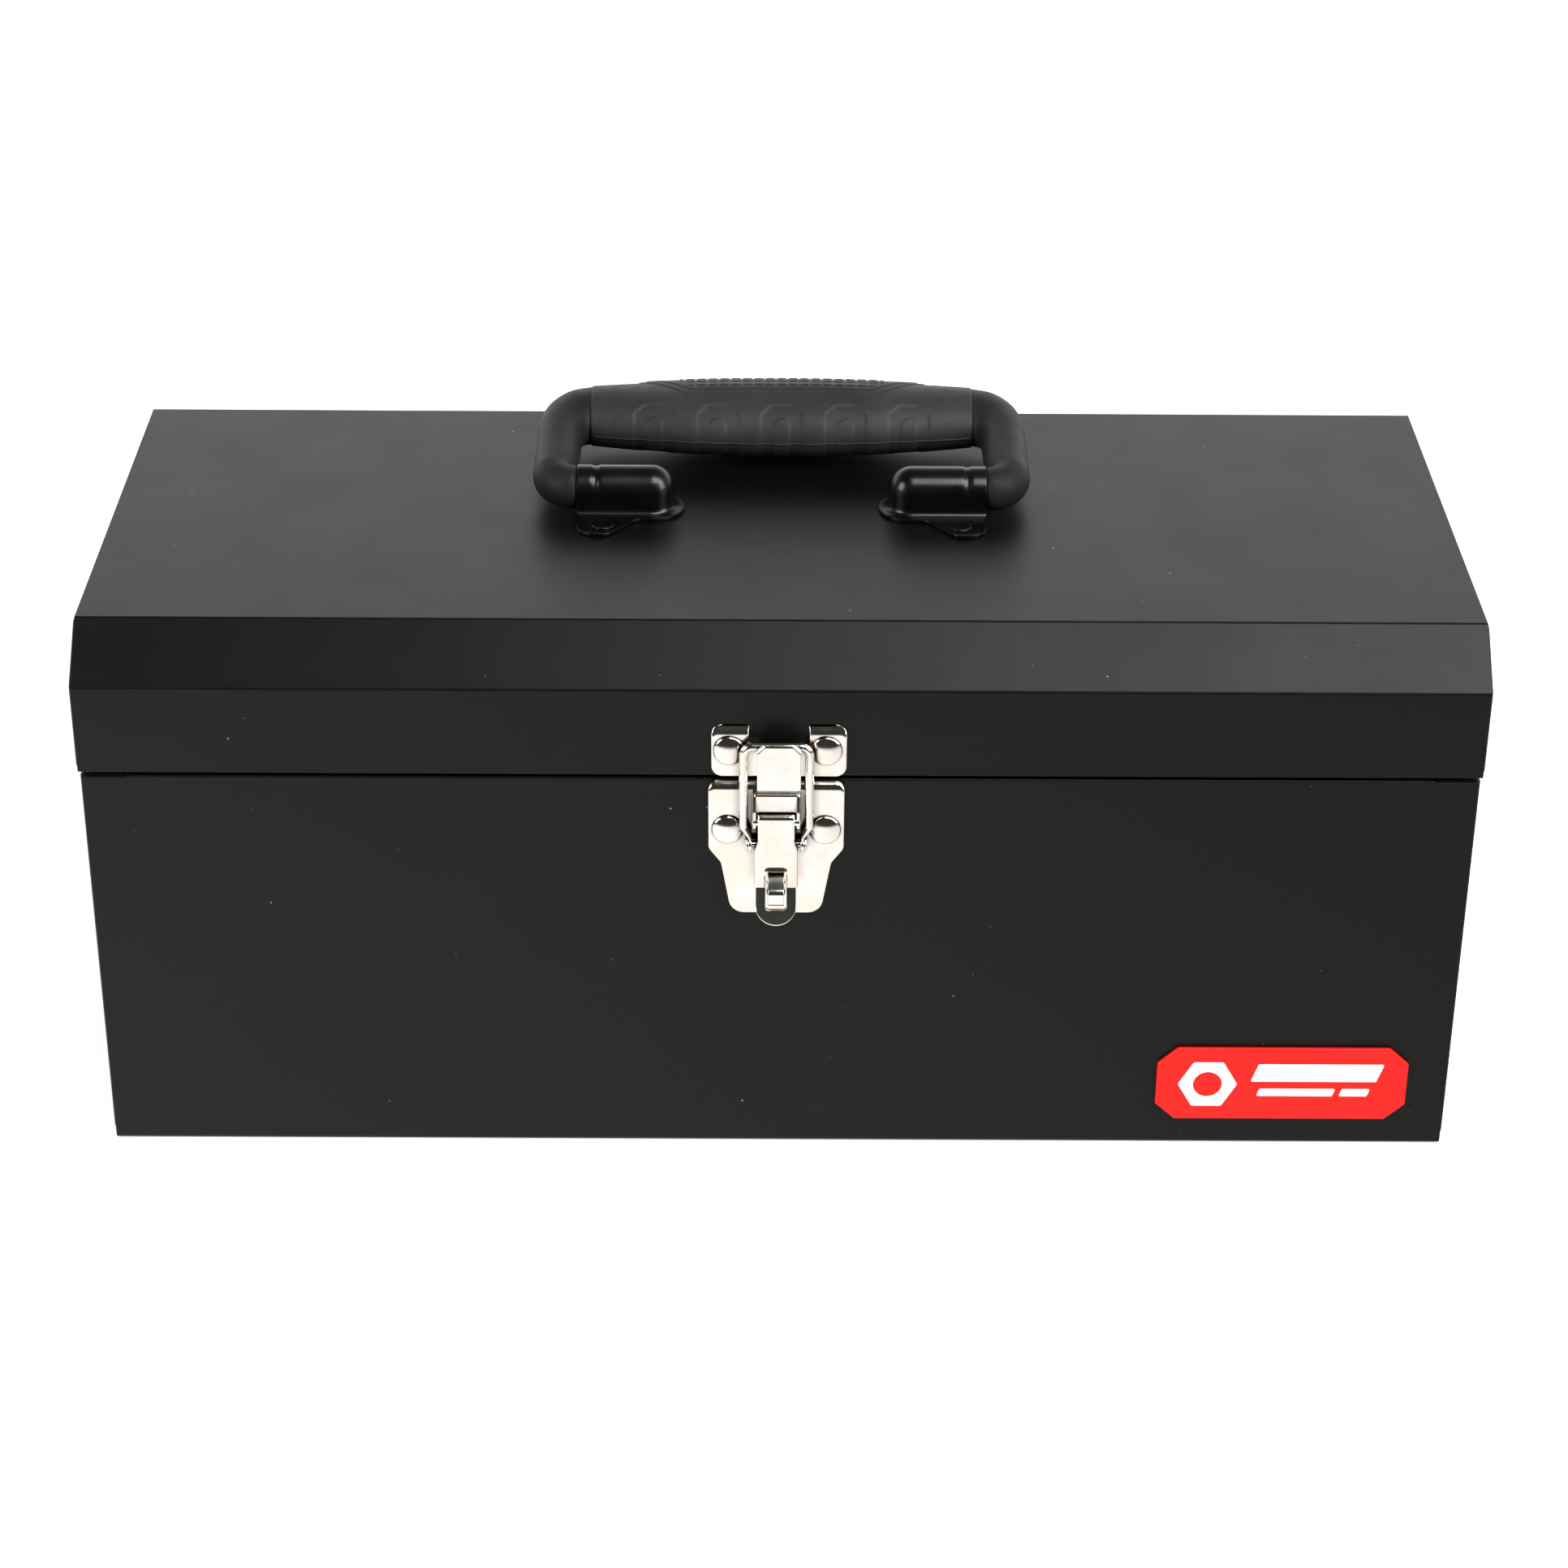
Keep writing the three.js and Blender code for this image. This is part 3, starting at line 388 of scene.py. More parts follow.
def side_shape(points, x0, x1):
    """A side-view loop of (distance in front of the body, z) extruded along X."""
    return bm_of(along_x([(FRONT - out, z) for out, z in points], x0, x1))


def rod_x(radius, x0, x1, pivot, edge=0.15):
    """A rod along X through a pivot, with softened ends."""
    profile = [
        (0, x0), (radius - edge, x0), (radius, x0 + edge),
        (radius, x1 - edge), (radius - edge, x1), (0, x1),
    ]
    return bm_of(lathe(profile, (0, pivot.y, pivot.z), (1, 0, 0), 24))


def merged(*meshes):
    """Several bmeshes as one."""
    whole = bmesh.new()
    for bm in meshes:
        scratch = mesh_of("scratch", bm)
        whole.from_mesh(scratch)
        bpy.data.meshes.remove(scratch)
    return whole


def piece(name, bm, material, body, node, bevel=0.0, segments=2, angle=32, weighted=True):
    """Make an object from a bmesh in millimetres, riding on a body in place of a CAD node.
    """
    for v in bm.verts:
        v.co = v.co * MM
    bmesh.ops.recalc_face_normals(bm, faces=bm.faces)
    mesh = mesh_of(name, bm)
    for polygon in mesh.polygons:
        polygon.use_smooth = True
    mesh.materials.append(material)
    obj = in_scene(name, mesh)
    if bevel > 0:
        modify(obj, "rounded_edges", "BEVEL", width=bevel * MM, segments=segments, limit_method="ANGLE",
               angle_limit=radians(angle), miter_outer="MITER_ARC")
    if weighted:
        modify(obj, "flat_faces_stay_flat", "WEIGHTED_NORMAL", mode="FACE_AREA", weight=60)
    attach(obj, body)
    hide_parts(node)
    return obj


# ---- materials


class Nodes:
    """A small helper for building a node tree."""

    def __init__(self, owner, coordinates):
        owner.use_nodes = True
        self.tree = owner.node_tree
        self.place = self.node("ShaderNodeTexCoord").outputs[coordinates]

    def node(self, kind, inputs=None, **settings):
        made = settle(self.tree.nodes.new(kind), settings)
        for key, value in (inputs or {}).items():
            self.feed(made.inputs[key], value)
        return made

    def feed(self, socket, value):
        if isinstance(value, bpy.types.NodeSocket):
            self.tree.links.new(value, socket)
        else:
            socket.default_value = value

    def noise(self, scale, detail=3.0, roughness=0.5, vector=None):
        made = self.node("ShaderNodeTexNoise", {
            "Vector": vector or self.place, "Scale": scale, "Detail": detail, "Roughness": roughness,
        })
        return made.outputs["Fac"]

    def ramp(self, value, low, high, to_low=0.0, to_high=1.0, **settings):
        made = self.node("ShaderNodeMapRange", {
            "Value": value, "From Min": low, "From Max": high, "To Min": to_low, "To Max": to_high,
        }, **settings)
        return made.outputs["Result"]

    def split(self):
        """X, Y and Z of the place in the tree's coordinates."""
        return self.node("ShaderNodeSeparateXYZ", {"Vector": self.place}).outputs

    def seen(self):
        """1 where the camera looks straight at something, 0 in reflections."""
        return self.node("ShaderNodeLightPath").outputs["Is Camera Ray"]

    def math(self, operation, a, b):
        return self.node("ShaderNodeMath", {0: a, 1: b}, operation=operation).outputs["Value"]

    def mix(self, share, low, high):
        inputs = {"Factor": share, "A": low, "B": high}
        return self.node("ShaderNodeMix", inputs, data_type="RGBA").outputs["Result"]

    def specks(self, cells, size, density):
        """Sparse small dots: 1 inside a dot, 0 elsewhere. cells is cells per metre."""
        cell = self.node("ShaderNodeTexVoronoi", {
            "Vector": self.place, "Scale": cells, "Randomness": 1.0,
        })
        near = self.ramp(cell.outputs["Distance"], size, size * 0.6)
        chance = self.node("ShaderNodeSeparateColor", {"Color": cell.outputs["Color"]}).outputs["Red"]
        kept = self.math("GREATER_THAN", chance, 1 - density)
        return self.math("MULTIPLY", near, kept)

    def bump(self, height, strength, distance, below=None):
        inputs = {"Height": height, "Strength": strength, "Distance": distance}
        if below is not None:
            inputs["Normal"] = below
        return self.node("ShaderNodeBump", inputs).outputs["Normal"]


class Shader(Nodes):
    """A node tree of a material, around its Principled BSDF."""

    def __init__(self, name):
        self.material = bpy.data.materials.new(name)
        super().__init__(self.material, "Object")
        self.bsdf = self.tree.nodes["Principled BSDF"]

    def surface(self, **inputs):
        for key, value in inputs.items():
            self.feed(self.bsdf.inputs[key.replace("_", " ")], value)
        return self.material


def powder_coat():
    """Satin black powder coat: fine orange peel, faint handling marks and stray dust."""
    s = Shader("box_paint")
    base = 0.0016
    cloud = s.noise(9.0, 4.0, 0.6)
    dust = s.specks(95.0, 0.032, 0.3)
    fine_dust = s.specks(260.0, 0.04, 0.05)
    dusted = s.math("MAXIMUM", dust, fine_dust)
    tone = s.mix(s.ramp(cloud, 0.35, 0.7), (base, base, base * 1.03, 1), (base * 1.25,) * 3 + (1,))
    colour = s.mix(s.math("MULTIPLY", dusted, 0.75), tone, (0.35, 0.34, 0.32, 1))
    rough = s.ramp(s.noise(35.0, 5.0, 0.6), 0.3, 0.7, 0.38, 0.43)
    peel = s.bump(s.noise(1500.0, 2.0, 0.5), 0.16, 0.0001)
    waves = s.bump(s.noise(22.0, 1.0, 0.4), 0.05, 0.0006, peel)
    return s.surface(Base_Color=colour, Roughness=rough, Normal=waves, IOR=1.5, Specular_IOR_Level=0.225)


def gloss_enamel():
    """Dipped gloss black enamel on the stamped brackets."""
    s = Shader("bracket_paint")
    dust = s.specks(420.0, 0.05, 0.12)
    colour = s.mix(s.math("MULTIPLY", dust, 0.35), (0.001, 0.001, 0.001, 1), (0.12, 0.12, 0.12, 1))
    rough = s.ramp(s.noise(120.0, 4.0), 0.3, 0.7, 0.27, 0.36)
    flow = s.bump(s.noise(160.0, 2.0), 0.1, 0.0004)
    return s.surface(Base_Color=colour, Roughness=rough, Normal=flow, IOR=1.5, Coat_Weight=0.25,
                     Specular_IOR_Level=0.3, Coat_Roughness=0.16)


def nickel():
    """Bright nickel plate with faint clouding, rubbed streaks, a few pits and painted shade darkening its
    crevices.
    """
    s = Shader("nickel")
    cloud = s.noise(115.0, 4.0, 0.55)
    warm = s.mix(s.ramp(cloud, 0.42, 0.58), (0.89, 0.81, 0.735, 1), (0.88, 0.875, 0.85, 1))
    pits = s.specks(900.0, 0.09, 0.02)
    pitted = s.mix(s.math("MULTIPLY", pits, 0.8), warm, (0.12, 0.1, 0.09, 1))
    # Painted shade: ambient occlusion darkens the plate's colour in crevices and where parts meet.
    painted_crevice_shade = s.node("ShaderNodeAmbientOcclusion", {"Distance": 0.0035}, samples=8).outputs["AO"]
    colour = s.mix(s.ramp(painted_crevice_shade, 0.3, 0.9), (0.08, 0.065, 0.055, 1), pitted)
    stretched = s.node("ShaderNodeMapping", {"Vector": s.place, "Scale": (1.0, 1.0, 0.12)}).outputs["Vector"]
    streaks = s.noise(2600.0, 2.0, 0.5, stretched)
    rough = s.ramp(s.noise(420.0, 3.0), 0.3, 0.75, 0.09, 0.15)
    rubbed = s.bump(streaks, 0.05, 0.00005)
    waves = s.bump(s.noise(260.0, 2.0), 0.07, 0.0002, rubbed)
    return s.surface(Base_Color=colour, Metallic=1.0, Roughness=rough, Normal=waves)


def bare_steel():
    """Plain drawn steel, for the hinge pin and the tray's rivets."""
    s = Shader("bare_steel")
    rough = s.ramp(s.noise(900.0, 3.0), 0.3, 0.7, 0.28, 0.42)
    colour = s.mix(s.noise(300.0), (0.38, 0.37, 0.36, 1), (0.5, 0.49, 0.48, 1))
    return s.surface(Base_Color=colour, Metallic=1.0, Roughness=rough,
                     Normal=s.bump(s.noise(2400.0), 0.08, 0.00005))


def moulded_plastic():
    """Satin black moulded plastic with a fine spark-eroded grain."""
    s = Shader("handle_plastic")
    dust = s.specks(330.0, 0.045, 0.1)
    colour = s.mix(s.math("MULTIPLY", dust, 0.4), (0.014, 0.014, 0.0142, 1), (0.17, 0.17, 0.17, 1))
    rough = s.ramp(s.noise(240.0, 3.0), 0.3, 0.7, 0.5, 0.57)
    grain = s.bump(s.noise(4200.0, 2.0, 0.6), 0.22, 0.00006)
    return s.surface(Base_Color=colour, Roughness=rough, Normal=grain, IOR=1.5, Specular_IOR_Level=0.15)


def grip_rubber():
    """Matt overmoulded rubber with lint and dust caught on it."""
    s = Shader("grip_rubber")
    dust = s.math("MAXIMUM", s.specks(520.0, 0.085, 0.2), s.specks(1100.0, 0.1, 0.1))
    patch = s.ramp(s.noise(55.0, 4.0, 0.6), 0.4, 0.65)
    tone = s.mix(patch, (0.019, 0.019, 0.0193, 1), (0.028, 0.028, 0.028, 1))
    colour = s.mix(s.math("MULTIPLY", dust, 0.5), tone, (0.36, 0.35, 0.34, 1))
    rough = s.ramp(s.noise(300.0, 3.0), 0.3, 0.7, 0.52, 0.64)
    grain = s.bump(s.noise(3600.0, 3.0, 0.6), 0.3, 0.00007)
    return s.surface(Base_Color=colour, Roughness=rough, Normal=grain, IOR=1.48, Specular_IOR_Level=0.35)


def badge_enamel(name, colour, rough, glow):
    """Flat enamel with a faint mottle; the glow is painted light, an emission that makes it look more
    strongly lit than the lamps make it.
    """
    s = Shader(name)
    mottle = s.noise(320.0, 3.0)
    shade = tuple(c * 0.9 for c in colour[:3]) + (1,)
    return s.surface(
        Base_Color=s.mix(s.ramp(mottle, 0.3, 0.7), colour, shade),
        Roughness=s.ramp(mottle, 0.3, 0.7, rough, rough + 0.08),
        Specular_IOR_Level=0.3,
        Normal=s.bump(s.noise(1400.0), 0.06, 0.00005),
        # Painted light: the enamel glows in its own colour.
        Emission_Color=colour,
        Emission_Strength=glow,
    )


PAINT = powder_coat()
GLOSS = gloss_enamel()
NICKEL = nickel()
STEEL = bare_steel()
PLASTIC = moulded_plastic()
RUBBER = grip_rubber()
# The last number of each badge colour is the strength of its painted glow.
RED = badge_enamel("badge_red", (0.76, 0.0075, 0.0045, 1), 0.36, 0.22)
WHITE = badge_enamel("badge_white", (0.9, 0.9, 0.9, 1), 0.4, 0.25)

# ---- box body and lid

SHEET_EDGE = 0.22
PANEL_EDGE = 0.15
BODY_BEND = 1.6
LID_BEND = 1.5
FLANGE = 13.0
FLANGE_ROLL = 1.1


def body_wrap():
    """Front, bottom and back in one sheet; the front rim is folded back on itself."""
    back_top = BODY_TOP - 2.4
    hem_radius, fold_depth = 0.85, 8
    bend_top = BODY_TOP - hem_radius
    line = [(FRONT, bend_top), (FRONT, 0), (HALF_WIDTH, 0), (HALF_WIDTH, back_top)]
    loop = bent(line, BODY_BEND, SHEET)
    hem = arc((FRONT + hem_radius, bend_top), hem_radius, 0, 180, 8)
    fold = [(FRONT + SHEET + 0.05, BODY_TOP - fold_depth), (FRONT + 2 * hem_radius, BODY_TOP - fold_depth)]
    half = WRAP_HIGH.x
    ends = cad_box("body_end_right")[0].x - 0.5
    rim = along_x(hem[::-1] + fold, -ends, ends)
    corner_rim = arc((FRONT + SHEET / 2, bend_top), SHEET / 2, 0, 180, 6)[1:-1]
    shell = along_x(loop + corner_rim, -half, half)
    return merged(bm_of(shell), bm_of(rim))


def pressed_end(corners, face, side):
    """A pressed end panel: a flat face whose rim rolls over into a flange along the box."""
    return pressed(corners, lambda a, b, back: (side * (face - back), a, b), FLANGE, FLANGE_ROLL, SHEET)


def square_end(node, face, side, foot_radius):
    """A pressed end with the outline of its CAD node."""
    low, high = cad_box(node)
    corners = mirrored([(high.y, low.z, foot_radius), (high.y, high.z, 0.8)])
    return pressed_end(corners, face, side)


def lid_wrap():
    """Front wall, hips, roof and rear wall in one sheet."""
    rear_bottom = HINGE.z + 2.9
    ridge = LID_HALF - HIP
    line = [
        (LID_HALF, rear_bottom), (LID_HALF, LID_CREASE), (ridge, LID_TOP),
        (-ridge, LID_TOP), (-LID_HALF, LID_CREASE), (-LID_HALF, LID_LOW.z + SHEET / 2),
    ]
    loop = bent(line, LID_BEND, SHEET)
    middle = len(loop) // 2
    round_edge = arc((SHEET / 2 - LID_HALF, LID_LOW.z + SHEET / 2), SHEET / 2, 180, 360, 8)[1:-1]
    loop[middle:middle] = round_edge
    return bm_of(along_x(loop, -LID_HIGH.x, LID_HIGH.x))


def lid_end(side):
    low, high = cad_box("lid_end_right")
    inset = LID_HALF - high.y
    shift = inset * tan(pi / 8)
    wall, crease, ridge = high.y, LID_CREASE - shift, LID_HALF - HIP - shift
    corners = mirrored([(wall, low.z, 1), (wall, crease, 1.4), (ridge, high.z, 1.4)])
    return pressed_end(corners, LID_END, side)


def box_and_lid():
    piece("body_wrap_sheet", body_wrap(), PAINT, "box", "body_wrap", SHEET_EDGE)
    piece("lid_wrap_sheet", lid_wrap(), PAINT, "lid", "lid_wrap", SHEET_EDGE)
    for name, side in SIDES:
        end = square_end("body_end_right", BODY_END, side, 3)
        piece(f"body_end_panel_{name}", end, PAINT, "box", f"body_end_{name}", PANEL_EDGE)
        piece(f"lid_end_panel_{name}", lid_end(side), PAINT, "lid", f"lid_end_{name}", PANEL_EDGE)


box_and_lid()

# ---- hinge


def hinge_leaf(up, parity):
    """A strip along the box whose rolled knuckles wrap the pin; parity picks its knuckles."""
    half, knuckles, radius, bore, gap = 188.0, 16, 2.3, 1.35, 0.15
    low, high = cad_box("hinge_leaf_lid" if up > 0 else "hinge_leaf_body")
    near, clear = low.y, radius + 0.5
    pitch = 2 * half / knuckles
    outer = high.z if up > 0 else low.z
    inner = HINGE.z + up * clear
    strip = [(near, inner), (near + SHEET, inner), (near + SHEET, outer), (near, outer)]
    parts = [bm_of(along_x(strip, -half, half))]
    ring_outer = arc((HINGE.y, HINGE.z), radius, 0, 345, 24)
    ring_inner = arc((HINGE.y, HINGE.z), bore, 0, 345, 24)
    joined = inner + up * 0.2
    wall = [(near, HINGE.z), (near + SHEET, HINGE.z + up * bore), (near + SHEET, joined), (near, joined)]
    for i in range(parity, knuckles, 2):
        x0, x1 = -half + i * pitch + gap, -half + (i + 1) * pitch - gap
        rings = [[(x, y, z) for y, z in ring] for ring, x in (
            (ring_inner, x0), (ring_outer, x0), (ring_outer, x1), (ring_inner, x1), (ring_inner, x0),
        )]
        parts.append(bm_of(loft(rings, caps=False)))
        parts.append(bm_of(along_x(wall, x0, x1)))
    return merged(*parts)


def hinge():
    piece("hinge_body_leaf", hinge_leaf(-1, 0), PAINT, "box", "hinge_leaf_body", 0.12)
    piece("hinge_lid_leaf", hinge_leaf(1, 1), PAINT, "lid", "hinge_leaf_lid", 0.12)
    low, high = cad_box("hinge_pin")
    pin = rod_x(1.15, low.x, high.x, HINGE)
    piece("hinge_rod", pin, STEEL, "box", "hinge_pin")


hinge()

# ---- latch: fixed parts

LATCH_SHEET = 1.0
BASE_FACE = 2.6
STRIKE_FACE = 2.15
TONGUE_FACE = 8.25
LATCH_EDGE = 0.14
STRIKE_RIVETS = (14.0, 137.0)
BASE_RIVETS = (14.2, 111.2)
STAPLE_TOP = 97.4
STAPLE_BOTTOM = 90.2


def front_rivet(x, z, face):
    """A domed rivet head seated on a face of the front; its shank runs inwards to a clinched tail."""
    radius, height, rim, tail, shank, clinch = 4.55, 1.75, 0.55, 4.4, 1.8, 2.8
    profile = [
        (0, -tail - 1.1), (2.2, -tail - 1.0), (clinch, -tail - 0.3), (clinch, -tail), (shank, -tail),
        (shank, 0), (radius - 0.6, 0), (radius - 0.45, 0.28), (radius - 0.05, 0.36),
    ]
    cap = height - rim
    sphere = (radius * radius + cap * cap) / (2 * cap)
    steps = 10
    for k in range(steps + 1):
        reach = radius * (1 - k / steps)
        profile.append((reach, rim + cap - sphere + sqrt(sphere * sphere - reach * reach)))
    return bm_of(lathe(profile, (x, FRONT - face, z), (0, -1, 0), 48))


def strike_plate():
    """The pan on the lid, notched at the top, with the hook tongue standing off its middle."""
    half, notch, top, bottom, shoulder = 19.6, 8.65, 144.8, 128.3, 137.2
    x = STRIKE_X
    corners = mirrored([
        (half, bottom, 3.2), (half, top, 3.2), (notch, top, 0.5), (notch, shoulder, 0.6),
    ], x)
    rolls = [0.55, 0.6, 3.3, 0.35, 0.4, 0.35, 3.3, 0.6]
    depth = STRIKE_FACE - 0.8
    pan = pressed(corners, facing_front(STRIKE_FACE), depth, rolls, LATCH_SHEET)
    wide, foot, crown, lip, chamfer = 6.3, 126.9, 141.9, 138.1, 2.2
    tongue = mirrored([(wide, foot, 0.3), (wide, crown - chamfer, 1.0), (wide - chamfer, crown, 1.0)], x)
    tongue = pressed(tongue, facing_front(TONGUE_FACE), 1.25, [0.25, 0.3, 1.0, 1.2, 1.0, 0.3])
    shelf_foot, root_foot, reach = lip - 1.1, 135.5, TONGUE_FACE - 0.65
    face, back = STRIKE_FACE, STRIKE_FACE - 1
    shelf = [(face - 0.5, shelf_foot), (reach, shelf_foot), (reach, lip), (face - 0.5, lip)]
    root = [(back, root_foot), (face, root_foot), (face, lip), (back, lip)]
    ends = (x - wide + 0.1, x + wide - 0.1)
    return merged(pan, tongue, side_shape(shelf, *ends), side_shape(root, *ends))


def base_plate():
    """The pan on the body with a window for the lever's heel, two ears and the bridge joining them."""
    x = LATCH_X
    corners = mirrored([(13.2, 82.8, 4.6), (16.2, 99.8, 3), (19.8, 104.6, 3), (19.8, 126.8, 3)], x)
    rolls = [0.55, 0.5, 0.5, 0.5, 3.0, 0.5, 0.5, 0.5]
    pan = pressed(corners, facing_front(BASE_FACE), BASE_FACE - 0.3, rolls, LATCH_SHEET)
    window_half, slit_half, slit_deep, band_half, ear = 5.9, 2.65, 0.85, 6.1, (5.9, 6.8)
    slits = [
        slot_shape(x - slit_half, x + slit_half, z - slit_deep, z + slit_deep, 0.2)
        for z in (STAPLE_TOP, STAPLE_BOTTOM)
    ]
    pan = carved(pan, slot_shape(x - window_half, x + window_half, 110, 119.5, 0.8), *slits)
    back, front, bridge_out, bridge_foot = BASE_FACE - 0.6, BASE_FACE + 0.6, 5.2, 118.2
    bridge = [(back, 124.6), (front, 124.8), (bridge_out, 123.9), (bridge_out, bridge_foot)]
    bridge = round_corners(bridge, [0, 0.6, 1.1, 0], 6, closed=False)
    inner = [(bridge_out - 1, bridge_foot), (bridge_out - 1, 123.1), (front, 123.6), (back, 123.4)]
    band = side_shape(bridge + inner, x - band_half, x + band_half)
    outline = [
        (back, 124), (back, 112.3), (bridge_out, 112.3), (6.5, 113.5),
        (6.7, 115.3), (6.3, 118.7), (bridge_out, 123.4), (4.6, 124),
    ]
    outline = round_corners(outline, [0, 0, 0.6, 0.8, 1.5, 3, 0.4, 0.4], 4)
    ears = [side_shape(outline, *sorted(x + side * reach for reach in ear)) for side in (-1, 1)]
    return merged(pan, band, *ears)


def staple():
    """The padlock eye: a strap bent into a loop, its feet clinched behind the plate."""
    sheet, half, behind, foot = 1.1, 2.35, 1.35, 1.7
    low, high = STAPLE_BOTTOM - sheet / 2, STAPLE_TOP + sheet / 2
    line = [
        (behind, low - foot), (behind, low), (10.6, low), (11.85, high - 3.2), (6.3, high),
        (behind, high), (behind, high + foot),
    ]
    loop = bent(line, [0, 0.5, 1.5, 2.2, 2.5, 0.5, 0], sheet, 8)
    loop = [(max(out, 0.3), z) for out, z in loop]
    return side_shape(loop, LATCH_X - half, LATCH_X + half)


def latch_fixed():
    piece("strike_plate_pan", strike_plate(), NICKEL, "lid", "strike_plate", LATCH_EDGE, angle=50)
    piece("base_plate_pan", base_plate(), NICKEL, "box", "latch_base_plate", LATCH_EDGE, angle=50)
    piece("padlock_staple", staple(), NICKEL, "box", "latch_staple", 0.22, 3, angle=50)
    pin = rod_x(1.3, LATCH_X - 7.0, LATCH_X + 7.0, LEVER_PIVOT, edge=0.35)
    piece("lever_pin", pin, NICKEL, "box", "lever_pivot_pin")
    for name, side in SIDES:
        strike = front_rivet(STRIKE_X - 0.4 + side * STRIKE_RIVETS[0], STRIKE_RIVETS[1], STRIKE_FACE)
        piece(f"strike_rivet_head_{name}", strike, NICKEL, "lid", f"strike_rivet_{name}")
        base = front_rivet(LATCH_X + side * BASE_RIVETS[0], BASE_RIVETS[1], BASE_FACE)
        piece(f"base_rivet_head_{name}", base, NICKEL, "box", f"base_rivet_{name}")


latch_fixed()

# ---- latch: lever and bail


def smooth(value, start=0.0, width=1.0):
    """0 before the start and 1 a width later, easing in between."""
    share = min(max((value - start) / width, 0.0), 1.0)
    return share * share * (3 - 2 * share)


LEVER_FACE = 7.2
TAB_BEND = 94.0
LEVER_SLOT = (88.7, 98.9)


def lever_channel():
    """The lever's face with its side flanges turned back, waisted above and rolled over at the top."""
    half_wide, waist, roll, flange = 6.4, 0.9, 0.9, 1.4
    curl_start, curl_height, curl_depth = 116.4, 1.5, 1.3
    scoop_foot = LEVER_SLOT[1] - 0.1
    heights = [TAB_BEND + 0.02, 95, 97, *(scoop_foot + 0.35 * k for k in range(9)), 104]
    heights += [*(106 + 0.4 * k for k in range(10)), 111, 113, 115, curl_start]
    heights += [curl_start + curl_height * sin(turn) for turn in turns(6)[1:]]
    rings = []
    for z in heights:
        half = half_wide - waist * smooth(z, 106, 3.8)
        curl = max(z - curl_start, 0) / curl_height
        face = LEVER_FACE - curl_depth * (1 - sqrt(max(1 - curl * curl, 0)))
        heel = 3.4 * smooth(z, 103.5, 3) * (1 - smooth(z, 114.6, 3))
        reach = flange + heel * 0.75 + 0.5 * smooth(z, 95, 4) * (1 - smooth(z, 112, 4))
        back = face - LATCH_SHEET
        rim = back - min(reach, 3.2)
        outer = [(-half, rim)]
        outer += [(-half + roll * (1 - cos(t)), face - roll * (1 - sin(t))) for t in turns(5)]
        scoop = 0.8 * (1 - smooth(z, scoop_foot, 2.6)) * smooth(z, 95, 3)
        outer += [(-3.5, face), (-2.9, face - scoop), (-1.5, face - scoop)]
        outer += [(-x, out) for x, out in reversed(outer)]
        thin = half - LATCH_SHEET
        inner = [(thin, rim), (thin, back - 0.25), (thin - 0.25, back)]
        inner += [(3.5, back), (2.9, back - scoop), (1.5, back - scoop)]
        inner += [(-x, out) for x, out in reversed(inner)]
        rings.append([(LATCH_X + x, FRONT - out, z) for x, out in outer + inner])
    return bm_of(loft(rings))


def lever_tab():
    """The half-round thumb tab, kicked outwards below the face."""
    half, drop, top = 6.15, 5.0, 0.5
    outline = [(-half, top)] + arc((0, -drop), half, 180, 360, 36) + [(half, top)]
    turn = radians(35)
    hinge_y, hinge_z = FRONT - LEVER_FACE, TAB_BEND + 0.2

    def place(a, b, back):
        return (
            LATCH_X + a,
            hinge_y + back * cos(turn) + b * sin(turn),
            hinge_z + b * cos(turn) - back * sin(turn),
        )

    rings = []
    for inset, back in ((0.28, 1.0), (0.08, 0.92), (0, 0.75), (0, 0.25), (0.08, 0.08), (0.28, 0)):
        shrink = (half - inset) / half
        rings.append([place(a * shrink, min(b, top) * shrink, back) for a, b in outline])
    return bm_of(loft(rings))


def lever():
    """The channel and the tab, both with the slot the padlock eye passes through."""
    half = 3.1
    window = (LATCH_X - half, LATCH_X + half, *LEVER_SLOT, 0.9)
    return merged(*(carved(part, slot_shape(*window, near=4.0)) for part in (lever_channel(), lever_tab())))


def bail_pin(side):
    """A shouldered pin with a peened head outside the bail's eye."""
    profile = [(0, 4), (1.1, 4), (1.1, 8.25), (2.0, 8.25), (2.1, 8.4), (2.0, 8.75), (1.4, 9.05), (0, 9.15)]
    return bm_of(lathe(profile, (LATCH_X, BAIL_PIVOT.y, BAIL_PIVOT.z), (side, 0, 0), 28))


def bail_wire():
    """One wire bent into a bail, its ends pressed flat into eyes that hang beside the ears."""
    half, eye_x, top, z0 = 9.55, 7.6, 139.6, BAIL_PIVOT.z
    corners = [
        (eye_x, z0 - 1.2), (eye_x, z0 + 2.6), (half, z0 + 6.0), (half, top), (-half, top),
        (-half, z0 + 6.0), (-eye_x, z0 + 2.6), (-eye_x, z0 - 1.2),
    ]
    path = round_corners(corners, [0, 1.4, 2.4, 2.7, 2.7, 2.4, 1.4, 0], 9, closed=False)
    rings = []
    for i, point in enumerate(path):
        before = Vector(path[max(i - 1, 0)])
        after = Vector(path[min(i + 1, len(path) - 1)])
        along = (after - before).normalized()
        across = Vector((-along.y, along.x))
        round_share = smooth(point[1] - z0, 1.2, 4.2)
        thin = 0.5 + 0.76 * round_share
        deep = 1.75 - 0.5 * round_share
        ring = []
        for turn in circle(18):
            flat = Vector(point) + across * thin * cos(turn)
            ring.append((LATCH_X + flat.x, BAIL_PIVOT.y + deep * sin(turn), flat.y))
        rings.append(ring)
    eye = [(1.3, 7.1), (2.05, 7.1), (2.2, 7.25), (2.2, 7.95), (2.05, 8.1), (1.3, 8.1), (1.3, 7.1)]
    eyes = [bm_of(lathe(eye, (LATCH_X, BAIL_PIVOT.y, z0), (side, 0, 0), 32)) for side in (-1, 1)]
    return merged(bm_of(loft(rings)), *eyes)


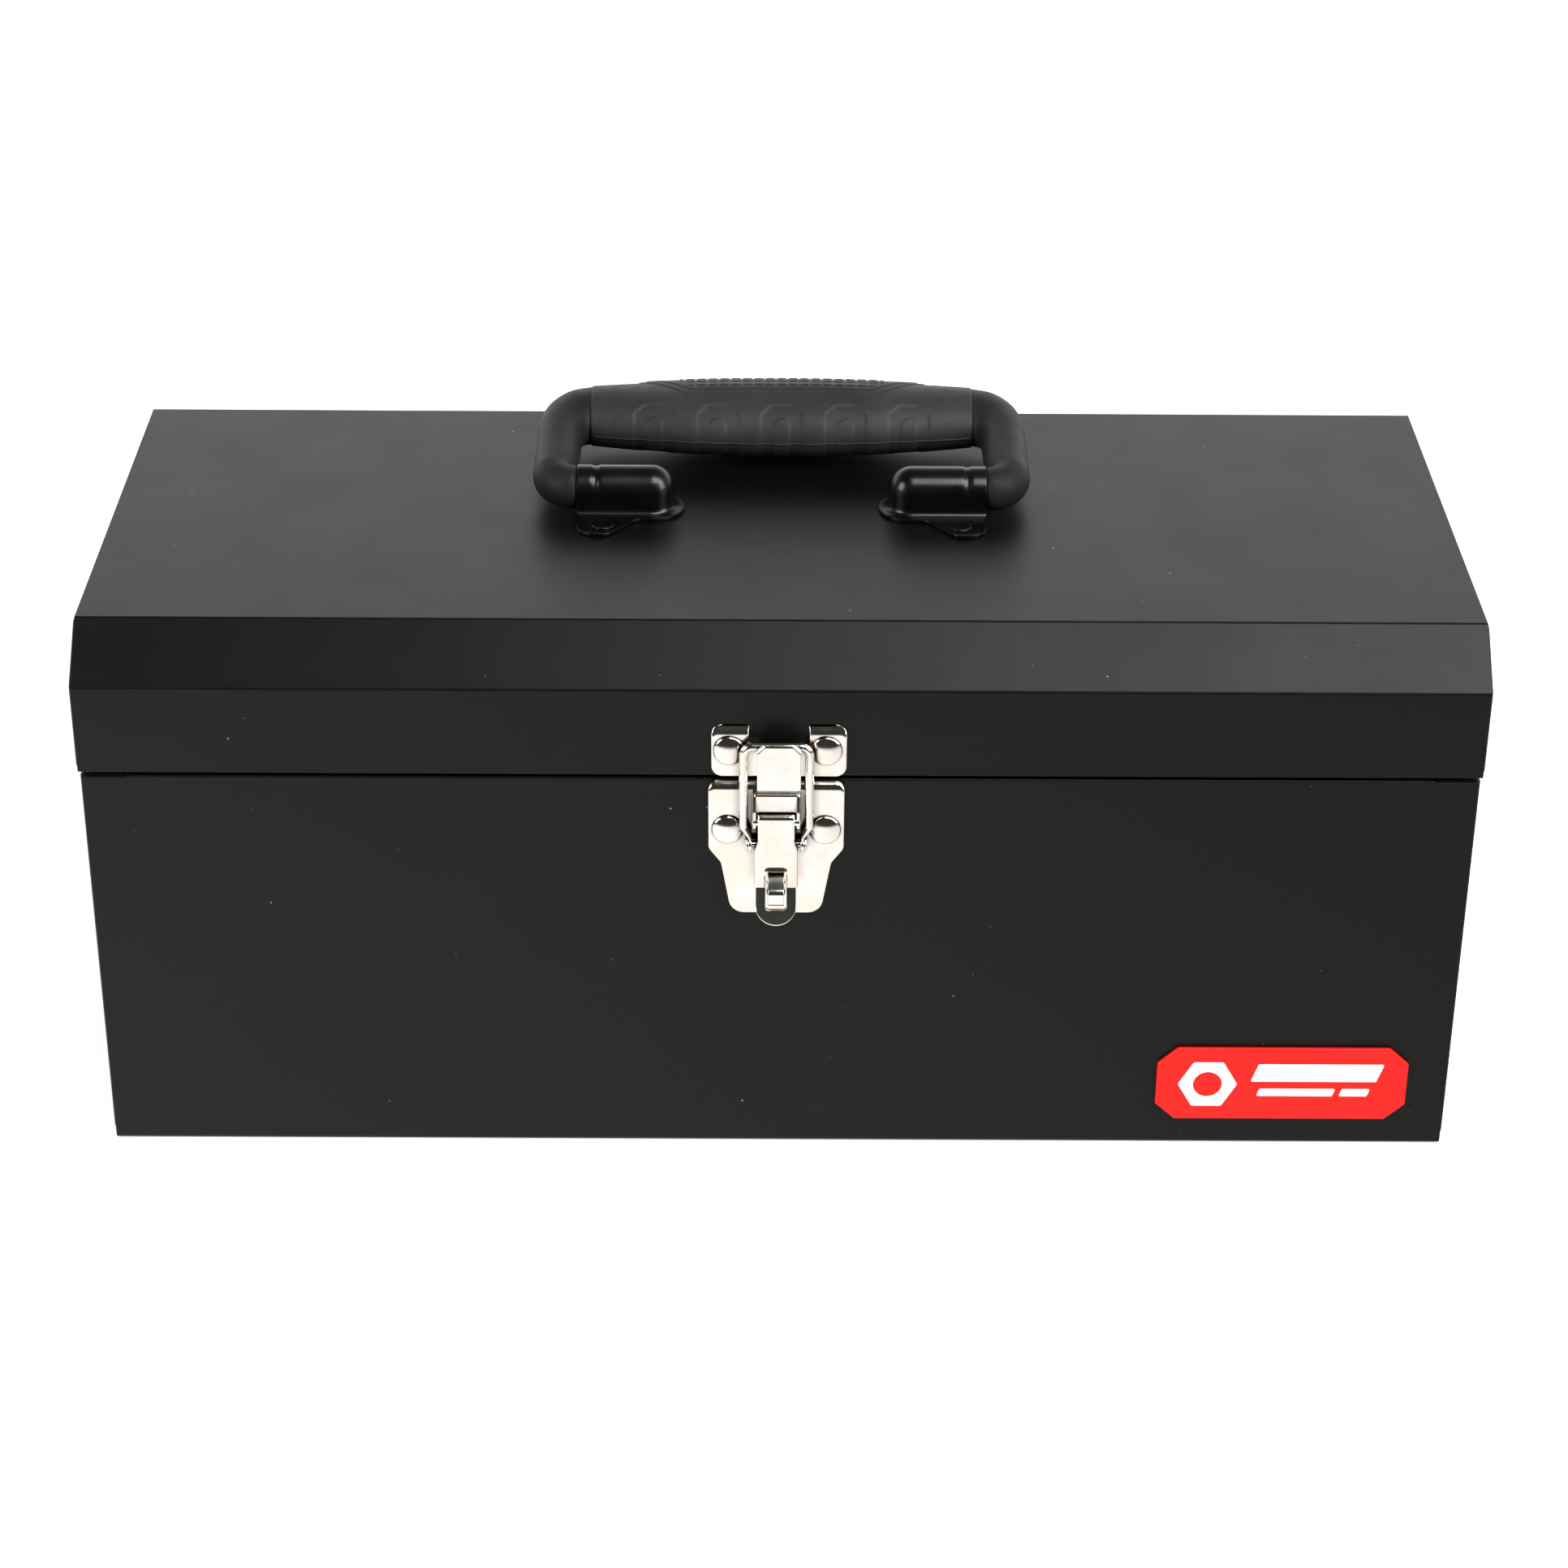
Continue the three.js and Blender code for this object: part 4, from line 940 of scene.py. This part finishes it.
def latch_moving():
    piece("lever_plate", lever(), NICKEL, "lever", "latch_lever", 0.12, angle=50)
    for name, side in SIDES:
        piece(f"bail_stud_{name}", bail_pin(side), NICKEL, "bail_pins", f"bail_pin_{name}")
    piece("bail_loop", bail_wire(), NICKEL, "bail", "bail_wire")


latch_moving()

# ---- handle brackets

HOOD_RADIUS = 7.0
HOOD_SHEET = 1.0
DOME_X = 39.5
OPEN_X = 62.0
FOOT_TOP = LID_TOP + 0.3 + HOOD_SHEET
FOOT_RIVET = (54.0, 14.0)
DIMPLE = 0.24
CRIMP_X = 56.4


def foot_rim(x):
    """How far the bracket's flange reaches from the handle's axis."""
    skirt, lobe, corner, blend, crest = 9.8, 20.9, 14.0, 42.5, FOOT_RIVET[0]
    if x <= crest:
        return skirt + (lobe - skirt) * smooth(x, blend, crest - blend)
    share = min((x - crest) / (OPEN_X - 0.2 - crest), 1.0)
    return corner + (lobe - corner) * (1 - share ** 2.5) ** 0.4


def hood(side):
    """A stamped bracket: a tunnel over the handle's end, domed shut, with a flared and riveted foot."""
    fillet, flange_steps, straight, dome = 1.9, 16, 60, 24
    wall_end = HOOD_RADIUS + fillet
    profile = [
        (HOOD_RADIUS * sin(turn), HANDLE_PIVOT.z + HOOD_RADIUS * cos(turn)) for turn in turns(12)
    ]
    profile.append((HOOD_RADIUS, (HANDLE_PIVOT.z + FOOT_TOP + fillet) / 2))
    profile += [
        (HOOD_RADIUS + fillet * (1 - cos(turn)), FOOT_TOP + fillet * (1 - sin(turn)))
        for turn in turns(6)
    ]

    def column(x, y_side, turn=None):
        """The wall from the ridge to the foot's rim: straight at x, or at an angle around the dome."""
        width = foot_rim(x) - wall_end
        flange = [(wall_end + width * k / flange_steps, FOOT_TOP) for k in range(1, flange_steps + 1)]
        out = []
        for radius, z in profile + flange:
            if turn is None:
                px, py = x, y_side * radius
            else:
                px, py = DOME_X - radius * sin(turn), -radius * cos(turn)
            near_rivet = hypot(px - FOOT_RIVET[0], abs(py) - FOOT_RIVET[1])
            z -= DIMPLE * (1 - smooth(near_rivet, 3.7, 1.2)) if radius > wall_end else 0
            crimp = exp(-((px - CRIMP_X) / 0.9) ** 2) if turn is None else 0
            lift = max(z - HANDLE_PIVOT.z - 1.0, 0) / HOOD_RADIUS
            pull = 0.45 * crimp * min(lift * 2.5, 1.0)
            out.append((side * px, py * (1 - pull / HOOD_RADIUS), z - pull * min(lift, 1)))
        return out

    places = [OPEN_X + (DOME_X - OPEN_X) * (k / straight) for k in range(straight + 1)]
    columns = [column(x, -1) for x in places]
    columns += [column(DOME_X, 0, pi * k / dome) for k in range(1, dome)]
    columns += [column(x, 1) for x in reversed(places)]
    bm = bm_of(loft(columns, caps=False, closed=False))
    upward = sum(face.normal.z * face.calc_area() for face in bm.faces)
    if upward < 0:
        bmesh.ops.reverse_faces(bm, faces=bm.faces)
    shell = scratch_object(bm, recalculate=False)
    modify(shell, "sheet", "SOLIDIFY", thickness=HOOD_SHEET, offset=-1, use_even_offset=True)
    return applied(shell)


def foot_rivet(x, y):
    """A low, flat rivet head pulled down into the foot's dimple."""
    seat = FOOT_TOP - DIMPLE
    profile = [
        (0, -4.0), (2.2, -3.9), (2.8, -3.3), (2.8, -2.7), (1.8, -2.7), (1.8, 0), (3.35, 0), (3.5, 0.12),
        (3.45, 0.32), (3.0, 0.5), (2.2, 0.55), (1.7, 0.42), (0, 0.38),
    ]
    return bm_of(lathe(profile, (x, y, seat), (0, 0, 1), 40))


def brackets():
    for name, side in SIDES:
        piece(f"bracket_hood_{name}", hood(side), GLOSS, "lid", f"handle_bracket_{name}", 0.2, 2, angle=50)
        for end_name, end in (("front", -1), ("rear", 1)):
            head = foot_rivet(side * FOOT_RIVET[0], end * FOOT_RIVET[1])
            node = f"bracket_rivet_{name}_{end_name}"
            piece(f"foot_rivet_{name}_{end_name}", head, GLOSS, "lid", node)


brackets()

# ---- handle

REACH = 44.0
GRIP_HALF = 59.6
GRIP_DEEP = 15.5
GRIP_THICK = 10.6
GRIP_ENDS = 0.79
TILT = asin((GRIP_THICK + 0.8 - 7.3) / REACH)


def laid_back(point):
    """Move a point drawn around the pivot, reaching along +Y, to where the folded handle lies."""
    x, y, z = point
    return (
        x,
        HANDLE_PIVOT.y + y * cos(TILT) - z * sin(TILT),
        HANDLE_PIVOT.z + y * sin(TILT) + z * cos(TILT),
    )


def spline(keys, steps):
    """Points on a Catmull-Rom curve through the keys, each key a tuple of numbers."""
    padded = [keys[0], *keys, keys[-1]]
    out = []
    for i in range(len(keys) - 1):
        for k in range(steps):
            t = k / steps
            out.append(tuple(
                0.5 * (2 * q + (r - p) * t + (2 * p - 5 * q + 4 * r - s) * t * t
                       + (3 * q - p - 3 * r + s) * t ** 3)
                for p, q, r, s in zip(*padded[i:i + 4])
            ))
    out.append(keys[-1])
    return out


def frame_sections():
    """Half of the handle as (inner x, inner y, outer x, outer y, half thickness), pivot end first."""
    stub = [(41.0, 5.3, 41.0, -5.3, 5.3), (41.5, 5.8, 41.5, -5.8, 5.8), (62.3, 5.8, 62.3, -5.8, 5.8)]
    x, y, inner, outer, steps = 62.7, 6.9, 0.35, 13.4, 10
    elbow = []
    for k in range(steps + 1):
        turn = radians(-90 + 9 * k)
        a, b = cos(turn), sin(turn)
        elbow.append((x + inner * a, y + inner * b, x + outer * a, y + outer * b, 6.6 + 0.3 * k / steps))
    keys = [
        elbow[-1],
        (62.4, 11.0, 76.0, 10.5, 6.9),
        (62.2, 18.0, 75.9, 18.0, 6.9),
        (62.1, 24.5, 75.8, 28.0, 7.1),
        (61.9, 28.6, 75.7, 38.0, 7.4),
        (61.4, 31.4, 73.2, 47.2, 7.65),
        (60.6, 33.1, 67.4, 54.3, 7.95),
        (59.6, 33.8, 59.7, 56.9, 8.1),
    ]
    bar = [(59.3, 38.0, 59.3, 55.2, 7.2), (0.0, 39.7, 0.0, 53.5, 6.9)]
    return stub + elbow[:-1] + spline(keys, 6) + bar


def handle_frame():
    """The moulded bow: oval sections from one stub in its bracket, around the bar, to the other."""
    half = frame_sections()
    chain = [(-1, section) for section in half] + [(1, section) for section in reversed(half[:-1])]
    rings = []
    for side, (ix, iy, ox, oy, thick) in chain:
        inner, outer = Vector((side * ix, iy)), Vector((side * ox, oy))
        centre, across = (inner + outer) / 2, (outer - inner) / 2
        ring = []
        for turn in circle(40):
            flat = centre + across * cos(turn)
            ring.append(laid_back((flat.x, flat.y, thick * sin(turn))))
        rings.append(ring)
    return bm_of(loft(rings))


def step(distance, width=0.45):
    """0 outside, 1 inside, with a short ramp where a signed distance crosses zero."""
    return smooth(distance / width + 0.5)


def inside_arch(u, s, half, deep, chamfer):
    """How far a point is inside a pad's outline: u from the pad's middle, s down from the seam."""
    return min(half - u, deep - s, (half + deep - chamfer - u - s) * 0.7071)


def pad_relief(x, s):
    """Finger pads on the grip's inner side: a sunk arch with a raised lozenge in its middle."""
    pitch, reach, out = 19.8, 8, 0.0
    for k in range(-2, 3):
        u = abs(x - k * pitch)
        if u <= reach:
            arch, core = inside_arch(u, s, 6.35, 14.2, 3.4), inside_arch(u, s, 2.45, 8.9, 1.6)
            out += -0.34 * step(arch, 0.6) + 0.36 * step(core, 0.6)
    return out


def palm_relief(x, q):
    """The palm strip on the outer side: two stepped borders with angled ends around rows of dashes."""
    deep, half, slant, longest, rise = 24.0, 29.4, 1.33, 45.0, 0.32
    dash_pitch, row_pitch = 3.6, 4.0
    along = abs(x)
    border = min(deep - q, (half + deep * slant - along - q * slant) * 0.6, longest - along)
    in_dash = 1.3 - abs((x + dash_pitch / 2) % dash_pitch - dash_pitch / 2)
    in_row = 1.2 - abs((q + row_pitch / 2) % row_pitch - row_pitch / 2)
    dash = min(in_dash, in_row, border - 4.0, 32 - along)
    return rise * step(border) + rise * step(border - 2.2) + 0.28 * step(dash, 0.5)


def grip_line(x):
    """The grip's centre (distance from the pivot) and its swelling at x: it bows towards the pivot."""
    along = x / GRIP_HALF
    return REACH + 1.3 * along * along, 1 - (1 - GRIP_ENDS) * along * along


def grip_section(x, shrink):
    """One ring of the grip with its relief, which fades out at the ends."""
    around, mm_per_degree = 176, 0.235
    reach, swell = grip_line(x)
    swell *= shrink
    fade = smooth(GRIP_HALF - abs(x), 0, 2)
    ring = []
    for k in range(around):
        angle = 360 * k / around
        turn = radians(angle)
        s = min(angle, 360 - angle) * mm_per_degree
        q = abs(angle - 180) * mm_per_degree
        lift = (pad_relief(x, s) + palm_relief(x, q)) * fade
        normal = Vector((-cos(turn) / GRIP_DEEP, sin(turn) / GRIP_THICK)).normalized()
        y = reach - GRIP_DEEP * swell * cos(turn) + normal.x * lift
        z = GRIP_THICK * swell * sin(turn) + normal.y * lift
        ring.append(laid_back((x, y, z)))
    return ring


def along_grip(inset, count):
    return [-GRIP_HALF + inset + (2 * GRIP_HALF - 2 * inset) * i / count for i in range(count + 1)]


def handle_grip():
    """The rubber grip: a swollen barrel with finger pads, palm ribs and a mould seam."""
    seam, radius = [], 0.24
    for x in along_grip(0.5, 120):
        reach, swell = grip_line(x)
        y, z = reach - GRIP_DEEP * swell - pad_relief(x, 0.5), -0.7
        seam.append([
            laid_back((x, y + radius * cos(t), z + radius * sin(t))) for t in turns(6, 360)[:-1]
        ])
    rings = [grip_section(-GRIP_HALF, shrink) for shrink in (0.6, 0.975)]
    rings += [grip_section(x, 1.0) for x in along_grip(0.35, 260)]
    rings += [grip_section(GRIP_HALF, shrink) for shrink in (0.975, 0.6)]
    return merged(bm_of(loft(rings)), bm_of(loft(seam)))


def handle():
    piece("handle_bow", handle_frame(), PLASTIC, "handle", "handle_frame", weighted=False)
    piece("handle_sleeve", handle_grip(), RUBBER, "handle", "handle_grip", weighted=False)


handle()

# ---- badge


def badge():
    """A red plate with clipped corners and a generic motif: a nut outline beside slanted bars."""
    low, high = cad_box("badge")
    x0, x1, z0, z1 = low.x + 0.4, high.x - 0.9, low.z + 1.0, high.z
    cut_x, cut_z, soft = 6.0, 5.5, 0.7
    corners = [
        (x0 + cut_x, z0, soft), (x1 - cut_x, z0, soft), (x1, z0 + cut_z, soft), (x1, z1 - cut_z, soft),
        (x1 - cut_x, z1, soft), (x0 + cut_x, z1, soft), (x0, z1 - cut_z, soft), (x0, z0 + cut_z, soft),
    ]
    face = FRONT - low.y
    base = pressed(corners, facing_front(face), face - 0.1, 0.4)
    plain = len(base.faces)
    middle = (z0 + z1) / 2

    def mark(outline, radius, sunk=-0.2, raised=0.18):
        """A shape standing just off the plate."""
        return prism(round_corners(outline, radius, 3), lambda a, b, out: (a, low.y - out, b), sunk, raised)

    nut = (x0 + 15.5, middle)
    hexagon, bore = arc(nut, 9.0, 0, 300, 5), arc(nut, 4.4, 0, 350, 35)
    marks = [carved(mark(hexagon, 0.8), mark(bore, 0, -1, 1))]
    bars = ((28.5, 66.5, 1.0, 6.2), (30.5, 53.5, -4.2, 2.6), (55.5, 64.0, -4.2, 2.6))
    for start, end, foot, height in bars:
        slant = height * 0.35
        left, right, bottom, top = x0 + start, x0 + end, middle + foot, middle + foot + height
        marks.append(mark([(left, bottom), (right, bottom), (right + slant, top), (left + slant, top)], 0.4))
    obj = piece("badge_plate", merged(base, *marks), RED, "box", "badge")
    obj.data.materials.append(WHITE)
    for polygon in obj.data.polygons:
        if polygon.index >= plain:
            polygon.material_index = 1


badge()

# ---- tray and its ledges

TRAY_LOW, TRAY_HIGH = cad_box("tray_wrap")
TRAY_END = cad_box("tray_end_right")[1].x


def tray_wrap():
    y, z0, z1 = TRAY_HIGH.y, TRAY_LOW.z, TRAY_HIGH.z
    loop = bent([(-y, z1), (-y, z0), (y, z0), (y, z1)], 2.0, SHEET)
    return bm_of(along_x(loop, -TRAY_HIGH.x, TRAY_HIGH.x))


def strap(loop, width):
    """A bent strip: a section of (x, z) points extruded across the box."""
    return bm_of(loft([[(x, -width / 2, z) for x, z in loop], [(x, width / 2, z) for x, z in loop]]))


def tray_handle():
    low, high = cad_box("tray_handle")
    half, foot, thickness = 55.0, 16.0, 1.6
    top = high.z - thickness
    right = [(half, top), (half, low.z), (half + foot, low.z)]
    line = [(-x, z) for x, z in reversed(right)] + right
    return strap(bent(line, 4.5, thickness, 8), high.y - low.y)


def ledge(side):
    low, high = cad_box("tray_ledge_right")
    line = [(high.x, low.z), (high.x, high.z), (low.x, high.z)]
    bm = strap(bent(line, 1.4, SHEET), high.y - low.y)
    for v in bm.verts:
        v.co.x *= side
    return bm


def tray_rivet(side):
    """A rivet with a clinched tail below and a low dome above."""
    low, high = cad_box("tray_rivet_right")
    x, radius, dome, shank = middle_x("tray_rivet_right"), 3.2, 1.2, 1.5
    head, tail = high.z - dome, low.z + 1.0
    profile = [(0, low.z), (2.0, low.z + 0.1), (2.4, tail), (shank, tail), (shank, head), (radius, head)]
    profile += [(radius * cos(turn), head + dome * sin(turn)) for turn in turns(8)[1:-1]]
    profile.append((0, high.z))
    return bm_of(lathe(profile, (side * x, 0, 0), (0, 0, 1), 36))


def tray():
    piece("tray_sheet", tray_wrap(), PAINT, "tray", "tray_wrap", SHEET_EDGE)
    piece("tray_strap", tray_handle(), PAINT, "tray", "tray_handle", 0.3)
    for name, side in SIDES:
        end = square_end("tray_end_right", TRAY_END, side, 2)
        piece(f"tray_panel_{name}", end, PAINT, "tray", f"tray_end_{name}", PANEL_EDGE)
        piece(f"tray_rivet_head_{name}", tray_rivet(side), STEEL, "tray", f"tray_rivet_{name}")
        piece(f"ledge_angle_{name}", ledge(side), PAINT, "box", f"tray_ledge_{name}", SHEET_EDGE)


tray()

# ---- studio, in metres

FLOOR_SIZE = 14.0
FLOOR_GAP = 0.0002
CAMERA_PLACE = (-0.00393, -1.01424, 0.63363)
CAMERA_LENS = 83.57

def area_light(name, place, target, size, watts):
    lamp = bpy.data.lights.new(name, "AREA")
    lamp.shape = "RECTANGLE"
    lamp.size, lamp.size_y = size
    lamp.energy = watts
    light = in_scene(name, lamp)
    light.location = place
    light.rotation_euler = (Vector(target) - Vector(place)).to_track_quat("-Z", "Y").to_euler()


def floor_material():
    """White paper: seen directly it shows soft shadows, in reflections it glows and falls off in front."""
    s = Shader("floor")
    paper = s.surface(
        Base_Color=s.mix(s.noise(3.0), (0.88, 0.88, 0.88, 1), (0.9, 0.9, 0.9, 1)),
        Roughness=0.9,
        Emission_Color=(1, 1, 1, 1),
        Emission_Strength=0.55,
    )
    place = s.split()
    towards_box = s.ramp(place["Y"], -1.15, -0.42, 0.04, 1.2)
    towards_left = s.ramp(place["X"], -0.25, 0.25, 1.22, 0.76)
    glow = s.node("ShaderNodeEmission", {
        "Color": (1.0, 0.985, 0.96, 1), "Strength": s.math("MULTIPLY", towards_box, towards_left),
    })
    mixed = s.node("ShaderNodeMixShader", {0: s.seen(), 1: glow.outputs[0], 2: s.bsdf.outputs[0]})
    s.feed(s.tree.nodes["Material Output"].inputs["Surface"], mixed.outputs[0])
    return paper


def world():
    """A bright backdrop behind the box that dims overhead and towards the camera, itself seen as paper."""
    surroundings = bpy.data.worlds.new("studio")
    bpy.context.scene.world = surroundings
    s = Nodes(surroundings, "Generated")
    way = s.split()
    behind = s.ramp(way["Y"], -0.1, 0.6, interpolation_type="SMOOTHSTEP")
    low_down = s.ramp(way["Z"], 0.3, 0.72, 1.0, 0.04)
    dark, bright, paper = (0.03, 0.034, 0.028, 1), (2.15, 2.15, 2.17, 1), (1, 1, 1, 1)
    backdrop = s.mix(s.math("MULTIPLY", behind, low_down), dark, bright)
    s.feed(s.tree.nodes["Background"].inputs["Color"], s.mix(s.seen(), backdrop, paper))


def studio():
    """The pale floor, the backdrop, a softbox on either side and one overhead to the right."""
    bm = bmesh.new()
    bmesh.ops.create_grid(bm, x_segments=1, y_segments=1, size=FLOOR_SIZE)
    floor = in_scene("floor", mesh_of("floor", bm))
    floor.data.materials.append(floor_material())
    floor.location.z = CAD_BOUNDS[0][2] - FLOOR_GAP
    world()
    for name, side in SIDES:
        area_light(f"{name}_softbox", (side * 1.3, -0.8, 0.8), (0, 0, 0.1), (0.7, 0.9), 16)
    area_light("overhead_softbox", (0.82, -0.74, 1.4), (0.82, -0.74, 0), (1.5, 0.8), 32.5)
    view = bpy.context.scene.view_settings
    view.view_transform = "Standard"
    view.look = "None"


def camera():
    """The photograph's viewpoint: a long lens in front of the box, looking down at 29 degrees."""
    pitch, yaw, roll = radians(28.86), radians(0.299), radians(0.413)
    away = Vector((sin(yaw) * cos(pitch), cos(yaw) * cos(pitch), -sin(pitch)))
    right = away.cross(Vector((0, 0, 1))).normalized()
    up = right.cross(away)
    right_rolled = right * cos(roll) + up * sin(roll)
    up_rolled = up * cos(roll) - right * sin(roll)
    data = bpy.data.cameras.new("camera")
    data.sensor_width = 36
    data.lens = CAMERA_LENS
    data.clip_end = 50
    eye = in_scene("camera", data)
    turn = Matrix((right_rolled, up_rolled, -away)).transposed().to_4x4()
    eye.matrix_world = Matrix.Translation(CAMERA_PLACE) @ turn
    bpy.context.scene.camera = eye


studio()
camera()
